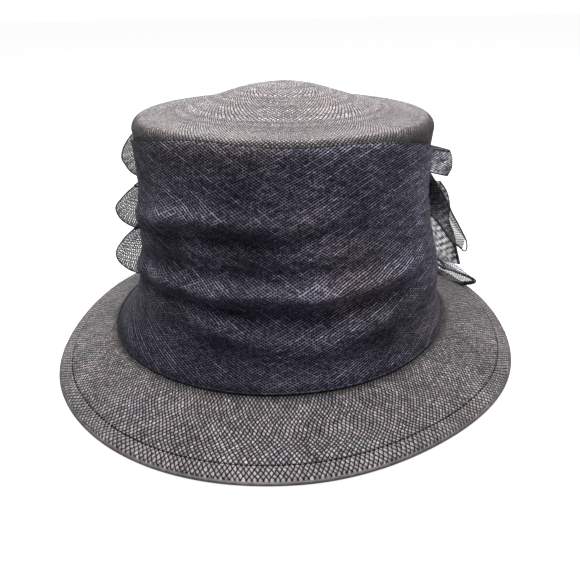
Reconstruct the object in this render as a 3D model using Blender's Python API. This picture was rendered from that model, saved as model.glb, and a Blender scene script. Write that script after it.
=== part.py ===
"""A brimmed straw cloche with a folded sinamay band and standing loops at the back.

Metres, +Z up. The brim's edge rests on z = 0, its outline is centred on the origin,
and the front of the hat faces -Y. Every shell is a grid of points: columns run round
the head, and rows run along a section. A direction is an angle in degrees from the
front, positive towards +X, which is the right of the picture.
"""
import bpy
import numpy as np

# Cloth and straw
STRAW_WALL = 0.0015
SINAMAY_WALL = 0.0012
CLEARANCE = 0.0004

# Crown, outside measures
CROWN_HALF_WIDTH = 0.0840
CROWN_HALF_DEPTH = 0.0880
CROWN_SIDE_HEIGHT = 0.1040
SHOULDER_RADIUS = 0.0065
DOME_RISE = 0.0145
DOME_SHIFT_BACK = 0.0130
TIP_LEAN_RIGHT = 0.0007

# Brim
ROOT_HEIGHT = 0.0260
BRIM_HALF_WIDTH = 0.1372
BRIM_HALF_DEPTH = 0.1500
BRIM_BOW = 0.15
COLLAR_HEIGHT = 0.0110
HEM_WIDTH = 0.0085
HEM_RAISE = 0.0006
HEM_RAMP = 0.0012
LAND_WIDTH = 0.0030
RIM_ROUNDING = 0.0005
RIM_LIFT = 0.0030
RIM_LIFT_DIRECTION = 100.0
RIM_LIFT_SPAN = 70.0

# Sinamay swathe
DRAPE_FLARE = 0.0220
DRAPE_LOOSENESS = 0.0110
FOLD_RISE = 0.0062
FOLD_UPPER_SPREAD = 0.0120
FOLD_LOWER_SPREAD = 0.0052
DRAPE_EDGE_EASE = 0.0030
DRAPE_SWING_SHARE = 0.30

# Knot and loops at the back
KNOT_HALF_WIDTH = 0.0150
KNOT_HALF_DEPTH = 0.0070
KNOT_HALF_HEIGHT = 0.0230
KNOT_PLACE = 0.577
KNOT_SQUARENESS = 0.62
LOOP_ROOT_WIDTH = 0.0100
LOOP_HALF_GAP = 0.0080
LOOP_BOW = 0.0070
LOOP_CORNER = 0.16
LOOP_ROOT_SHARE = 0.35
LOOP_WIDENING = 0.8
FLAP_CURL = 0.0060
FLAP_ROOT_POWER = 4

# Fineness of the grids
COLUMNS = 48
CROWN_SIDE_ROWS = 9
SHOULDER_ROWS = 4
DOME_ROWS = 5
DRAPE_ROWS = 21
BRIM_ROWS = 6
LOOP_STEPS = 20
LOOP_ROWS = 4

# height: share of CROWN_SIDE_HEIGHT above the root; width and depth: shares of the
# crown's half width and half depth
CROWN_SECTIONS = (
    # height, width, depth
    (0.00, 0.976, 1.090),
    (0.15, 0.962, 1.075),
    (0.40, 0.955, 1.045),
    (0.70, 0.962, 1.018),
    (0.90, 0.984, 1.004),
    (1.00, 1.000, 1.000),
)

# reach: share of the brim's half width and half depth; top: height of the swathe's
# upper edge as a share of CROWN_SIDE_HEIGHT; flare: share of DRAPE_FLARE by which its
# lower edge stands out over the brim
ROUND_THE_HEAD = (
    # direction, reach, top, flare
    (0.0, 1.042, 1.015, 0.70),
    (30.0, 0.992, 1.005, 0.66),
    (60.0, 0.987, 0.965, 0.66),
    (90.0, 0.957, 0.930, 0.70),
    (120.0, 0.967, 0.900, 0.66),
    (150.0, 1.030, 0.880, 0.50),
    (180.0, 0.985, 0.870, 0.36),
    (210.0, 1.040, 0.885, 0.52),
    (240.0, 1.040, 0.920, 0.80),
    (270.0, 1.035, 0.945, 0.98),
    (300.0, 1.075, 0.990, 0.98),
    (330.0, 1.080, 1.020, 0.84),
)

# height: share of the swathe's height above its lower edge; the other columns are
# shares of DRAPE_LOOSENESS by which the cloth stands off the crown in that direction
EASE = (
    # height, front, right, back, left
    (0.00, 0.00, 0.00, 0.00, 0.00),
    (0.12, 0.42, 0.62, 0.20, 0.30),
    (0.26, 0.36, 0.80, 0.16, 0.40),
    (0.42, 0.22, 0.66, 0.12, 0.16),
    (0.58, 0.16, 0.34, 0.10, 0.05),
    (0.78, 0.08, 0.06, 0.06, 0.03),
    (1.00, 0.00, 0.00, 0.00, 0.00),
)

# Each fold is a soft lip that runs round the crown. Its height is a share of
# CROWN_SIDE_HEIGHT above the root, and its rise a share of FOLD_RISE.
FOLD_DIRECTIONS = (-90.0, -60.0, -30.0, 0.0, 30.0, 60.0, 90.0, 180.0)
FOLDS = (
    # name, heights in those directions, rises in those directions
    ("upper", (0.53, 0.62, 0.70, 0.64, 0.70, 0.72, 0.70, 0.62),
     (0.20, 0.60, 0.95, 0.85, 0.45, 0.20, 0.10, 0.45)),
    ("second", (0.38, 0.45, 0.50, 0.50, 0.53, 0.55, 0.54, 0.50),
     (0.10, 0.20, 0.70, 0.95, 0.85, 0.45, 0.12, 0.40)),
    ("third", (0.24, 0.34, 0.36, 0.325, 0.35, 0.40, 0.42, 0.38),
     (0.45, 0.80, 1.00, 0.95, 0.65, 0.30, 0.12, 0.40)),
    ("lowest", (0.12, 0.20, 0.215, 0.090, 0.160, 0.22, 0.24, 0.24),
     (0.10, 0.30, 0.60, 0.70, 0.90, 0.50, 0.15, 0.30)),
)

# tip: x and y as shares of the brim's half width and half depth, z as a share of
# CROWN_SIDE_HEIGHT above the brim; root: height on the knot as a share of its half
# height; width: upright width at the tip, as a share of CROWN_SIDE_HEIGHT; fullness:
# share of LOOP_HALF_GAP
LOOPS = (
    # name, tip x, tip y, tip z, root, width, fullness
    ("loop_left_upper", -0.785, 0.333, 0.876, 0.62, 0.260, 1.00),
    ("loop_left_middle", -0.840, 0.333, 0.526, 0.00, 0.260, 1.00),
    ("loop_left_lower", -0.868, 0.333, 0.227, -0.70, 0.330, 1.00),
    ("loop_right_upper", 0.815, 0.333, 0.793, 0.62, 0.165, 0.70),
    ("loop_right_lower", 0.960, 0.247, 0.105, -0.70, 0.090, 0.75),
)

# The long flap of the right side: each row is a section across it, from the knot out.
# x and y as in LOOPS; top and bottom as shares of CROWN_SIDE_HEIGHT above the brim
FLAP_SECTIONS = (
    # x, y, top, bottom
    (0.120, 0.700, 0.680, 0.590),
    (0.340, 0.730, 0.764, 0.554),
    (0.560, 0.650, 0.783, 0.503),
    (0.720, 0.530, 0.730, 0.460),
    (0.800, 0.450, 0.625, 0.385),
    (0.875, 0.400, 0.429, 0.239),
    (0.930, 0.370, 0.294, 0.184),
)


def clear_scene():
    """Remove every object that the file opened with."""
    for item in list(bpy.data.objects):
        bpy.data.objects.remove(item, do_unlink=True)


def make_material(name, colour, roughness):
    """A plain cloth or straw finish."""
    material = bpy.data.materials.new(name)
    material.use_nodes = True
    shader = material.node_tree.nodes["Principled BSDF"]
    shader.inputs["Base Color"].default_value = (*colour, 1.0)
    shader.inputs["Roughness"].default_value = roughness
    shader.inputs["Metallic"].default_value = 0.0
    return material


def curve_through(x, known_x, known_y):
    """Smooth curve through known points: cubic pieces with central slopes."""
    known_x = np.asarray(known_x, float)
    known_y = np.asarray(known_y, float)
    slopes = np.gradient(known_y, known_x)
    x = np.clip(x, known_x[0], known_x[-1])
    i = np.clip(np.searchsorted(known_x, x, side="right") - 1, 0, len(known_x) - 2)
    step = known_x[i + 1] - known_x[i]
    t = (x - known_x[i]) / step
    value = known_y[i] * (1 - t) ** 2 * (1 + 2 * t)
    value = value + known_y[i + 1] * t ** 2 * (3 - 2 * t)
    value = value + slopes[i] * step * t * (1 - t) ** 2
    return value - slopes[i + 1] * step * t ** 2 * (1 - t)


def curve_round(direction, known_directions, known_values):
    """The same curve on a full turn of directions, closed on itself."""
    turn = np.asarray(known_directions, float)
    values = np.asarray(known_values, float)
    wide_turn = np.concatenate([turn - 360.0, turn, turn + 360.0])
    wide_values = np.concatenate([values, values, values])
    return curve_through(np.mod(direction, 360.0), wide_turn, wide_values)


def column(table, index):
    """One column of a table of rows."""
    return [row[index] for row in table]


def round_the_head(direction, index):
    """A column of ROUND_THE_HEAD at any direction."""
    return curve_round(direction, column(ROUND_THE_HEAD, 0), column(ROUND_THE_HEAD, index))


def heading(direction):
    """Unit steps to the right and to the front for a direction."""
    angle = np.radians(direction)
    return np.sin(angle), -np.cos(angle)


def crown_half_axes(height):
    """The crown's outer half width and half depth at a height above the root."""
    share = height / CROWN_SIDE_HEIGHT
    heights = column(CROWN_SECTIONS, 0)
    width = CROWN_HALF_WIDTH * curve_through(share, heights, column(CROWN_SECTIONS, 1))
    depth = CROWN_HALF_DEPTH * curve_through(share, heights, column(CROWN_SECTIONS, 2))
    return width, depth


def crown_point(direction, height, inset=0.0):
    """A point of the crown's side, or of its inner face by an inset."""
    width, depth = crown_half_axes(height)
    right, front = heading(direction)
    x = (width - inset) * right
    y = (depth - inset) * front
    lean = TIP_LEAN_RIGHT * right * height / CROWN_SIDE_HEIGHT
    return np.stack([x, y, ROOT_HEIGHT + height - lean], axis=-1)


def rim_outline(direction):
    """The brim's outer edge in plan, with its box centred on the origin."""
    sample = np.arange(0.0, 360.0, 0.5)

    def plain(angle):
        reach = round_the_head(angle, 1)
        right, front = heading(angle)
        return BRIM_HALF_WIDTH * reach * right, BRIM_HALF_DEPTH * reach * front

    all_x, all_y = plain(sample)
    x, y = plain(direction)
    centre_x = (all_x.max() + all_x.min()) / 2
    centre_y = (all_y.max() + all_y.min()) / 2
    return x - centre_x, y - centre_y


def rim_lift(direction):
    """How far the edge stands off the floor: a smooth swell on the right side."""
    away = np.abs(np.mod(direction - RIM_LIFT_DIRECTION + 180.0, 360.0) - 180.0)
    return RIM_LIFT * 0.5 * (1 + np.cos(np.pi * np.clip(away / RIM_LIFT_SPAN, 0, 1)))


def brim_point(direction, share, drop=0.0):
    """A point of the brim's upper face, from the root (0) to the edge (1).

    The height falls on a line with a slight outward bow; drop lowers it by a wall.
    """
    share = np.asarray(share, float)
    root = crown_point(direction, 0.0)
    rim_x, rim_y = rim_outline(direction)
    edge_height = STRAW_WALL + HEM_RAISE
    fall = (1 - share) * (1 + BRIM_BOW * share)
    top = edge_height + (ROOT_HEIGHT - CLEARANCE - edge_height) * fall
    x = root[..., 0] + (rim_x - root[..., 0]) * share
    y = root[..., 1] + (rim_y - root[..., 1]) * share
    z = top + rim_lift(direction) * share ** 2 - drop
    return np.stack([x + 0 * z, y + 0 * z, z], axis=-1)


def brim_width(direction):
    """Distance in plan from the crown's root to the brim's edge."""
    root = crown_point(direction, 0.0)
    rim_x, rim_y = rim_outline(direction)
    return np.hypot(rim_x - root[..., 0], rim_y - root[..., 1])


def brim_height_under(x, y):
    """Height of the brim's upper face below a point of the plan."""
    direction = np.degrees(np.arctan2(x / BRIM_HALF_WIDTH, -y / BRIM_HALF_DEPTH))
    root = crown_point(direction, 0.0)
    from_root = np.hypot(x, y) - np.hypot(root[..., 0], root[..., 1])
    return brim_point(direction, from_root / brim_width(direction))[..., 2]


def fold_offset(direction, height):
    """How far the folds lift the swathe at a height above the root.

    Each fold rises gently from above to its lip, and tucks back sharply below it.
    """
    total = np.zeros(np.broadcast(direction, height).shape)
    for _name, heights, rises in FOLDS:
        lip = CROWN_SIDE_HEIGHT * curve_round(direction, FOLD_DIRECTIONS, heights)
        rise = FOLD_RISE * curve_round(direction, FOLD_DIRECTIONS, rises)
        above = height - lip
        spread = np.where(above > 0, FOLD_UPPER_SPREAD, FOLD_LOWER_SPREAD)
        total = np.maximum(total, rise * np.exp(-(above / spread) ** 2))
    return total


def ease_offset(direction, share):
    """The swathe's looseness at a share of its height, blended between directions."""
    known = [curve_through(share, column(EASE, 0), column(EASE, i)) for i in range(1, 5)]
    quarter = np.mod(direction, 360.0) / 90.0
    lower = np.floor(quarter).astype(int) % 4
    blend = 0.5 - 0.5 * np.cos(np.pi * (quarter - np.floor(quarter)))
    known = np.stack([value + 0 * quarter for value in known])
    first = np.take_along_axis(known, lower[None] + 0 * known[:1].astype(int), axis=0)[0]
    second = np.take_along_axis(known, (lower[None] + 1) % 4 + 0 * known[:1].astype(int), axis=0)[0]
    return DRAPE_LOOSENESS * (first + (second - first) * blend)


def drape_point(direction, share, inset=0.0):
    """A point of the swathe, from its lower edge on the brim (0) to its top (1).

    The cloth stands a clearance off the crown. The looseness and the folds lift it,
    and near the brim it swings out to its flared lower edge.
    """
    direction, share = np.broadcast_arrays(np.asarray(direction, float), share)
    flare = DRAPE_FLARE * round_the_head(direction, 3)
    edge_share = (flare - inset) / brim_width(direction)
    edge = brim_point(direction, edge_share)
    seat = brim_point(direction, (flare - SINAMAY_WALL) / brim_width(direction))
    bottom = seat[..., 2] + CLEARANCE
    top = ROOT_HEIGHT + CROWN_SIDE_HEIGHT * round_the_head(direction, 2)
    z = bottom + (top - bottom) * share
    height = np.clip(z - ROOT_HEIGHT, 0.0, CROWN_SIDE_HEIGHT)
    width, depth = crown_half_axes(height)
    right, front = heading(direction)
    edge_fade = np.clip((1 - share) * (top - bottom) / DRAPE_EDGE_EASE, 0.0, 1.0)
    offset = CLEARANCE + SINAMAY_WALL - inset + ease_offset(direction, share)
    offset = offset + fold_offset(direction, height) * edge_fade
    wall_x = (width + offset) * right
    wall_y = (depth + offset) * front
    swing = np.clip(1 - share / DRAPE_SWING_SHARE, 0.0, 1.0) ** 2
    x = wall_x + (edge[..., 0] - wall_x) * swing
    y = wall_y + (edge[..., 1] - wall_y) * swing
    lean = TIP_LEAN_RIGHT * right * height / CROWN_SIDE_HEIGHT
    return np.stack([x, y, z - lean], axis=-1)


def signed_volume(points, faces):
    """Six times the volume inside the faces, positive when they point outwards."""
    total = 0.0
    for face in faces:
        first = points[face[0]]
        for a, b in zip(face[1:-1], face[2:]):
            total += float(np.dot(first, np.cross(points[a], points[b])))
    return total


def add_solid(name, points, faces, material):
    """A named object from points and faces, with its faces pointing outwards."""
    points = np.asarray(points, float).reshape(-1, 3)
    if signed_volume(points, faces) < 0:
        faces = [tuple(reversed(face)) for face in faces]
    mesh = bpy.data.meshes.new(name)
    mesh.from_pydata([tuple(point) for point in points], [], faces)
    mesh.materials.append(material)
    mesh.shade_smooth()
    mesh.set_sharp_from_angle(angle=np.radians(40.0))
    item = bpy.data.objects.new(name, mesh)
    bpy.context.scene.collection.objects.link(item)
    return item


def grid_faces(rows, columns, close_rows, close_columns):
    """Four-sided faces of a grid, which may join its last row or column to the first."""
    faces = []
    for i in range(rows if close_rows else rows - 1):
        for j in range(columns if close_columns else columns - 1):
            a, b = i * columns, ((i + 1) % rows) * columns
            k = (j + 1) % columns
            faces.append((a + j, a + k, b + k, b + j))
    return faces


def add_ring(name, sections, material):
    """A ring: sections, each a closed loop of points, carried round a closed path."""
    rows, columns = sections.shape[:2]
    return add_solid(name, sections, grid_faces(rows, columns, True, True), material)


def add_strip(name, sections, material):
    """A strip of cloth: closed sections carried along an open path, with both ends shut."""
    rows, columns = sections.shape[:2]
    faces = grid_faces(rows, columns, False, True)
    half = columns // 2
    for start, flip in ((0, False), ((rows - 1) * columns, True)):
        for i in range(half - 1):
            face = (start + i, start + columns - 1 - i, start + columns - 2 - i, start + i + 1)
            faces.append(tuple(reversed(face)) if flip else face)
    return add_solid(name, sections, faces, material)


def add_domed_shell(name, outer, inner, material):
    """A bowl turned over: outer and inner rings from the mouth up, each with a pole.

    The last ring of each is a single point repeated, and only its first is used.
    """
    columns = outer.shape[1]
    rings = [outer[:-1], inner[:-1]]
    points = np.concatenate([rings[0].reshape(-1, 3), rings[1].reshape(-1, 3),
                             outer[-1, :1], inner[-1, :1]])
    rows = rings[0].shape[0]
    outer_faces = grid_faces(rows, columns, False, True)
    start = rows * columns
    inner_faces = [tuple(start + i for i in reversed(face)) for face in outer_faces]
    faces = outer_faces + inner_faces
    outer_pole, inner_pole = 2 * start, 2 * start + 1
    last = (rows - 1) * columns
    for j in range(columns):
        k = (j + 1) % columns
        faces.append((last + j, last + k, outer_pole))
        faces.append((start + last + k, start + last + j, inner_pole))
        faces.append((k, j, start + j, start + k))
    return add_solid(name, points, faces, material)


def directions():
    """The directions of the grid's columns."""
    return np.arange(COLUMNS) * 360.0 / COLUMNS


def crown_rings(inset):
    """Rings of the crown's outer face, or of its inner face by an inset."""
    around = directions()
    right, front = heading(around)
    heights = np.linspace(0.0, CROWN_SIDE_HEIGHT, CROWN_SIDE_ROWS)
    rings = [crown_point(around, height, inset) for height in heights]
    radius = SHOULDER_RADIUS - inset
    shoulder_width = CROWN_HALF_WIDTH - SHOULDER_RADIUS
    shoulder_depth = CROWN_HALF_DEPTH - SHOULDER_RADIUS
    top = ROOT_HEIGHT + CROWN_SIDE_HEIGHT
    lean = TIP_LEAN_RIGHT * right
    for turn in np.linspace(0.0, np.pi / 2, SHOULDER_ROWS + 1)[1:]:
        x = (shoulder_width + radius * np.cos(turn)) * right
        y = (shoulder_depth + radius * np.cos(turn)) * front
        z = top + radius * np.sin(turn) - lean
        rings.append(np.stack([x, y, z], axis=-1))
    for share in np.linspace(1.0, 0.0, DOME_ROWS + 1)[1:]:
        x = shoulder_width * share * right
        y = shoulder_depth * share * front + DOME_SHIFT_BACK * (1 - share)
        rise = DOME_RISE * 0.5 * (1 + np.cos(np.pi * share))
        z = top + radius + rise - lean * share
        rings.append(np.stack([x, y, z + 0 * x], axis=-1))
    return np.stack(rings)


def build_crown(straw):
    """The blocked straw crown, one shell open below."""
    add_domed_shell("crown", crown_rings(0.0), crown_rings(STRAW_WALL), straw)


def build_brim(straw):
    """The brim: collar inside the crown, shelf under the crown's edge, slope and hem."""
    around = directions()
    width = brim_width(around)
    hem_start = 1 - HEM_WIDTH / width
    hem_level = 1 - (HEM_WIDTH - HEM_RAMP) / width
    land_start = 1 - LAND_WIDTH / width
    rim_turn = 1 - RIM_ROUNDING / width
    collar_gap = STRAW_WALL + CLEARANCE
    section = [crown_point(around, COLLAR_HEIGHT, collar_gap)]
    section.append(crown_point(around, -CLEARANCE, collar_gap))
    for share in np.linspace(0.0, 1.0, BRIM_ROWS):
        section.append(brim_point(around, hem_start * share))
    section.append(brim_point(around, hem_level, -HEM_RAISE))
    section.append(brim_point(around, land_start, -HEM_RAISE))
    section.append(brim_point(around, rim_turn))
    lift = rim_lift(around)
    edge = brim_point(around, 1.0)
    edge[:, 2] = lift + STRAW_WALL / 2
    section.append(edge)
    for share in (rim_turn, land_start):
        land = brim_point(around, share)
        land[:, 2] = lift * share ** 2
        section.append(land)
    section.append(brim_point(around, hem_level, STRAW_WALL + HEM_RAISE))
    for share in np.linspace(1.0, 0.0, BRIM_ROWS)[:-1]:
        section.append(brim_point(around, hem_start * share, STRAW_WALL))
    inner_gap = collar_gap + STRAW_WALL
    section.append(crown_point(around, -CLEARANCE - STRAW_WALL, inner_gap))
    section.append(crown_point(around, COLLAR_HEIGHT, inner_gap))
    add_ring("brim", np.stack(section, axis=1), straw)


def build_drape(sinamay):
    """The folded swathe: outer face up, inner face back down, carried round the crown."""
    around = directions()
    shares = np.linspace(0.0, 1.0, DRAPE_ROWS)
    outer = [drape_point(around, share) for share in shares]
    inner = [drape_point(around, share, SINAMAY_WALL) for share in shares[::-1]]
    add_ring("drape", np.stack(outer + inner, axis=1), sinamay)


def knot_share(offset):
    """The knot's girth at a height from its middle, as a share of its full girth."""
    height = np.clip(np.abs(offset) / KNOT_HALF_HEIGHT, 0.0, 1.0)
    return (1 - height ** (2 / KNOT_SQUARENESS)) ** (KNOT_SQUARENESS / 2)


def knot_centre():
    """The knot's middle: it bears on the swathe at the back, a clearance away.

    Its height above the root is KNOT_PLACE, a share of the crown's side height.
    """
    middle = ROOT_HEIGHT + KNOT_PLACE * CROWN_SIDE_HEIGHT
    back = drape_point(np.full(400, 180.0), np.linspace(0.0, 1.0, 400))
    offset = back[:, 2] - middle
    bearing = back[:, 1] + CLEARANCE + KNOT_HALF_DEPTH * knot_share(offset)
    bearing = bearing[np.abs(offset) < KNOT_HALF_HEIGHT].max()
    return np.array([0.0, bearing, middle])


def rounded(value, power):
    """A cosine or sine raised to a power with its sign kept."""
    return np.sign(value) * np.abs(value) ** power


def build_knot(sinamay):
    """The wrap that gathers the swathe and the loops: a plump, square-cornered pad."""
    turn = np.linspace(0.0, 2 * np.pi, 20, endpoint=False)
    rise = np.linspace(-np.pi / 2, np.pi / 2, 9)[1:-1]
    turn, rise = np.meshgrid(turn, rise)
    ring = rounded(np.cos(rise), KNOT_SQUARENESS)
    x = KNOT_HALF_WIDTH * ring * rounded(np.cos(turn), KNOT_SQUARENESS)
    y = KNOT_HALF_DEPTH * ring * rounded(np.sin(turn), KNOT_SQUARENESS)
    z = KNOT_HALF_HEIGHT * rounded(np.sin(rise), KNOT_SQUARENESS)
    rows, columns = x.shape
    points = np.stack([x, y, z], axis=-1).reshape(-1, 3)
    poles = np.array([[0.0, 0.0, -KNOT_HALF_HEIGHT], [0.0, 0.0, KNOT_HALF_HEIGHT]])
    faces = grid_faces(rows, columns, False, True)
    low, high = rows * columns, rows * columns + 1
    last = (rows - 1) * columns
    for j in range(columns):
        k = (j + 1) % columns
        faces.append((k, j, low))
        faces.append((last + j, last + k, high))
    add_solid("knot", np.concatenate([points, poles]) + knot_centre(), faces, sinamay)


def ribbon_sections(path, normal, half_width):
    """Closed sections of a ribbon that stands upright along a path.

    Across the ribbon the outer face runs from its lower to its upper edge, and the
    inner face runs back.
    """
    across = np.linspace(-1.0, 1.0, LOOP_ROWS)
    up = np.array([0.0, 0.0, 1.0])
    sections = []
    for side, order in ((0.5, across), (-0.5, across[::-1])):
        for place in order:
            shift = up * (half_width * place)[:, None] + normal * side * SINAMAY_WALL
            sections.append(path(place) + shift)
    return np.stack(sections, axis=1)


def plan_normal(points):
    """Unit normals, level with the floor, of a closed path of points."""
    along = np.roll(points, -1, axis=0) - np.roll(points, 1, axis=0)
    normal = np.stack([along[:, 1], -along[:, 0], 0 * along[:, 0]], axis=1)
    return normal / np.linalg.norm(normal, axis=1)[:, None]


def build_loop(row, sinamay):
    """One standing loop: a ribbon from the knot out to its tip and back.

    Along the path the distance from the knot is half of 1 - cos(u) and the two sides
    part by sin(u), so both ends close in smooth bends. The whole loop bows away from
    the crown. Its width grows from the gathered root to the tip, whose upper and lower
    corners are drawn in.
    """
    name, tip_x, tip_y, tip_z, root_share, width_share, fullness = row
    centre = knot_centre()
    side = np.sign(tip_x)
    tip = np.array([tip_x * BRIM_HALF_WIDTH, tip_y * BRIM_HALF_DEPTH, 0.0])
    tip[2] = brim_height_under(tip[0], tip[1]) + tip_z * CROWN_SIDE_HEIGHT
    root_rise = root_share * KNOT_HALF_HEIGHT
    nearest = max(abs(root_rise) - LOOP_ROOT_WIDTH / 2, 0.0)
    reach = KNOT_HALF_WIDTH * knot_share(nearest) + CLEARANCE + SINAMAY_WALL / 2
    root = centre + np.array([side * reach, 0.0, root_rise])
    turn = np.linspace(0.0, 2 * np.pi, LOOP_STEPS, endpoint=False)
    along = 0.5 * (1 - np.cos(turn))
    axis = tip - root
    sideways = np.array([axis[1], -axis[0], 0.0]) / np.hypot(axis[0], axis[1])
    opening = LOOP_ROOT_SHARE + (1 - LOOP_ROOT_SHARE) * along
    spread = LOOP_HALF_GAP * fullness * np.sin(turn) * opening
    spread = spread - side * LOOP_BOW * 4 * along * (1 - along)

    def path(place):
        drawn_in = LOOP_CORNER * place ** 2 * along ** 2
        flat_axis = axis * np.array([1.0, 1.0, 0.0])
        middle = root + axis * along[:, None] + sideways * spread[:, None]
        return middle - flat_axis * drawn_in[:, None]

    half_width = 0.5 * (LOOP_ROOT_WIDTH + (width_share * CROWN_SIDE_HEIGHT - LOOP_ROOT_WIDTH)
                        * along ** LOOP_WIDENING)
    sections = ribbon_sections(path, plan_normal(path(0.0)), half_width)
    add_ring(name, sections, sinamay)


def build_flap(sinamay):
    """The long flap: a strip that hangs out and down on the right, curled at its end."""
    table = np.array(FLAP_SECTIONS)
    centre = knot_centre()
    known = np.linspace(0.0, 1.0, len(table))
    share = np.linspace(0.0, 1.0, LOOP_STEPS // 2)
    x = BRIM_HALF_WIDTH * curve_through(share, known, table[:, 0])
    y = BRIM_HALF_DEPTH * curve_through(share, known, table[:, 1])
    x = x + (centre[0] + KNOT_HALF_WIDTH + CLEARANCE - x[0]) * (1 - share) ** FLAP_ROOT_POWER
    y = y + (centre[1] - y[0]) * (1 - share) ** FLAP_ROOT_POWER
    brim = brim_height_under(x, y)
    top = brim + CROWN_SIDE_HEIGHT * curve_through(share, known, table[:, 2])
    bottom = brim + CROWN_SIDE_HEIGHT * curve_through(share, known, table[:, 3])
    points = np.stack([x, y, (top + bottom) / 2], axis=1)
    along = np.gradient(points, axis=0)
    normal = np.stack([along[:, 1], -along[:, 0], 0 * x], axis=1)
    normal = normal / np.linalg.norm(normal, axis=1)[:, None]

    def path(place):
        return points + normal * (FLAP_CURL * share * place ** 2)[:, None]

    add_strip("flap_right", ribbon_sections(path, normal, (top - bottom) / 2), sinamay)


def main():
    """Build every piece of the hat."""
    clear_scene()
    straw = make_material("straw", (0.145, 0.138, 0.142), 0.62)
    sinamay = make_material("sinamay", (0.034, 0.033, 0.045), 0.70)
    build_crown(straw)
    build_brim(straw)
    build_drape(sinamay)
    build_knot(sinamay)
    for row in LOOPS:
        build_loop(row, sinamay)
    build_flap(sinamay)


main()
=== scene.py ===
"""Straw cloche: the looks of a brimmed plaited straw hat with a folded sinamay swathe.

Metres, +Z up, the brim's edge on z = 0, the front of the hat towards -Y. Every surface is
a grid worked out with numpy: one parameter runs round the head or along a ribbon, the
other runs up or across it. A direction is an angle in degrees from the front, positive
towards +X.
"""

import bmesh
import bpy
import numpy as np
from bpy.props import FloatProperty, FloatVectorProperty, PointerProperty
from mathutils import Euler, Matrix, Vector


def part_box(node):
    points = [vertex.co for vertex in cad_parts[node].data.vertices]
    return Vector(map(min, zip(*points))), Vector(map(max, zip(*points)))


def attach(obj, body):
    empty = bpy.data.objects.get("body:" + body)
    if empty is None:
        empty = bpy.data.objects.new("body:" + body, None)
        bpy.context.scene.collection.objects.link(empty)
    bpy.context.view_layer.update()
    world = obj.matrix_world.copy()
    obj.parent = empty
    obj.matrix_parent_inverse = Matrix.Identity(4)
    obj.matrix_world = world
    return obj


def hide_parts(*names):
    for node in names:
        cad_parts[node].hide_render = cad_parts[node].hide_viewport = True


bl_info = {
    "name": "Straw cloche",
    "version": (1, 0, 0),
    "blender": (4, 5, 0),
    "location": "View3D > Sidebar > Hat",
    "description": "Builds a plaited straw hat with a folded sinamay swathe and standing loops",
    "category": "Object",
}

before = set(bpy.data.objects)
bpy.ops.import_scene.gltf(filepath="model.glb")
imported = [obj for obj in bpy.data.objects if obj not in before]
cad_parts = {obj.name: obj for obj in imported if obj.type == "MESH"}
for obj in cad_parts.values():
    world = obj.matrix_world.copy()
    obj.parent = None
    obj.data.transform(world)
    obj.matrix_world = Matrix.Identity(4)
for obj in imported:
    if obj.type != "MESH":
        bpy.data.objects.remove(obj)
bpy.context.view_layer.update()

# Blocked shape of the crown. height: share of the side height above the root; width and
# depth: shares of the crown's half width and half depth
CROWN_SECTIONS = (
    # height, width, depth
    (0.00, 0.976, 1.090),
    (0.15, 0.962, 1.075),
    (0.40, 0.955, 1.045),
    (0.70, 0.962, 1.018),
    (0.90, 0.984, 1.004),
    (1.00, 1.000, 1.000),
)

# reach: share of the brim's half width and half depth; top: height of the swathe's upper
# edge as a share of the crown's side height; flare: share of the swathe's flare
ROUND_THE_HEAD = (
    # direction, reach, top, flare
    (0.0, 1.042, 1.036, 0.70),
    (30.0, 0.992, 1.034, 0.66),
    (60.0, 0.987, 0.960, 0.66),
    (90.0, 0.957, 0.850, 0.70),
    (120.0, 0.967, 0.845, 0.66),
    (150.0, 1.030, 0.860, 0.50),
    (180.0, 0.985, 0.870, 0.36),
    (210.0, 1.040, 0.885, 0.52),
    (240.0, 1.040, 0.920, 0.80),
    (270.0, 1.035, 0.915, 0.98),
    (300.0, 1.075, 0.994, 0.98),
    (330.0, 1.080, 1.048, 0.84),
)

# How far the cloth stands off the crown, as shares of its looseness
EASE = (
    # height, front, right, back, left
    (0.00, 0.00, 0.00, 0.00, 0.00),
    (0.12, 0.42, 0.62, 0.20, 0.30),
    (0.26, 0.36, 0.80, 0.16, 0.40),
    (0.42, 0.22, 0.66, 0.12, 0.16),
    (0.58, 0.16, 0.34, 0.10, 0.05),
    (0.78, 0.08, 0.06, 0.06, 0.03),
    (1.00, 0.00, 0.00, 0.00, 0.00),
)

# Soft lips round the crown: heights as shares of the side height, rises as shares of the
# fold rise, in the fold directions
FOLD_DIRECTIONS = (-90.0, -60.0, -30.0, 0.0, 30.0, 60.0, 90.0, 180.0)
FOLDS = (
    # heights, rises
    ((0.53, 0.62, 0.71, 0.70, 0.75, 0.74, 0.70, 0.62),
     (0.30, 0.75, 1.00, 0.65, 0.10, 0.04, 0.06, 0.45)),
    ((0.44, 0.50, 0.55, 0.555, 0.56, 0.57, 0.55, 0.50),
     (0.06, 0.60, 0.45, 0.45, 0.25, 0.08, 0.08, 0.40)),
    ((0.24, 0.34, 0.38, 0.40, 0.40, 0.42, 0.43, 0.38),
     (0.30, 0.85, 1.00, 1.15, 0.92, 0.15, 0.08, 0.40)),
    ((0.12, 0.20, 0.235, 0.160, 0.200, 0.24, 0.25, 0.24),
     (0.10, 0.25, 0.60, 0.60, 0.65, 0.25, 0.12, 0.30)),
)

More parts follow.
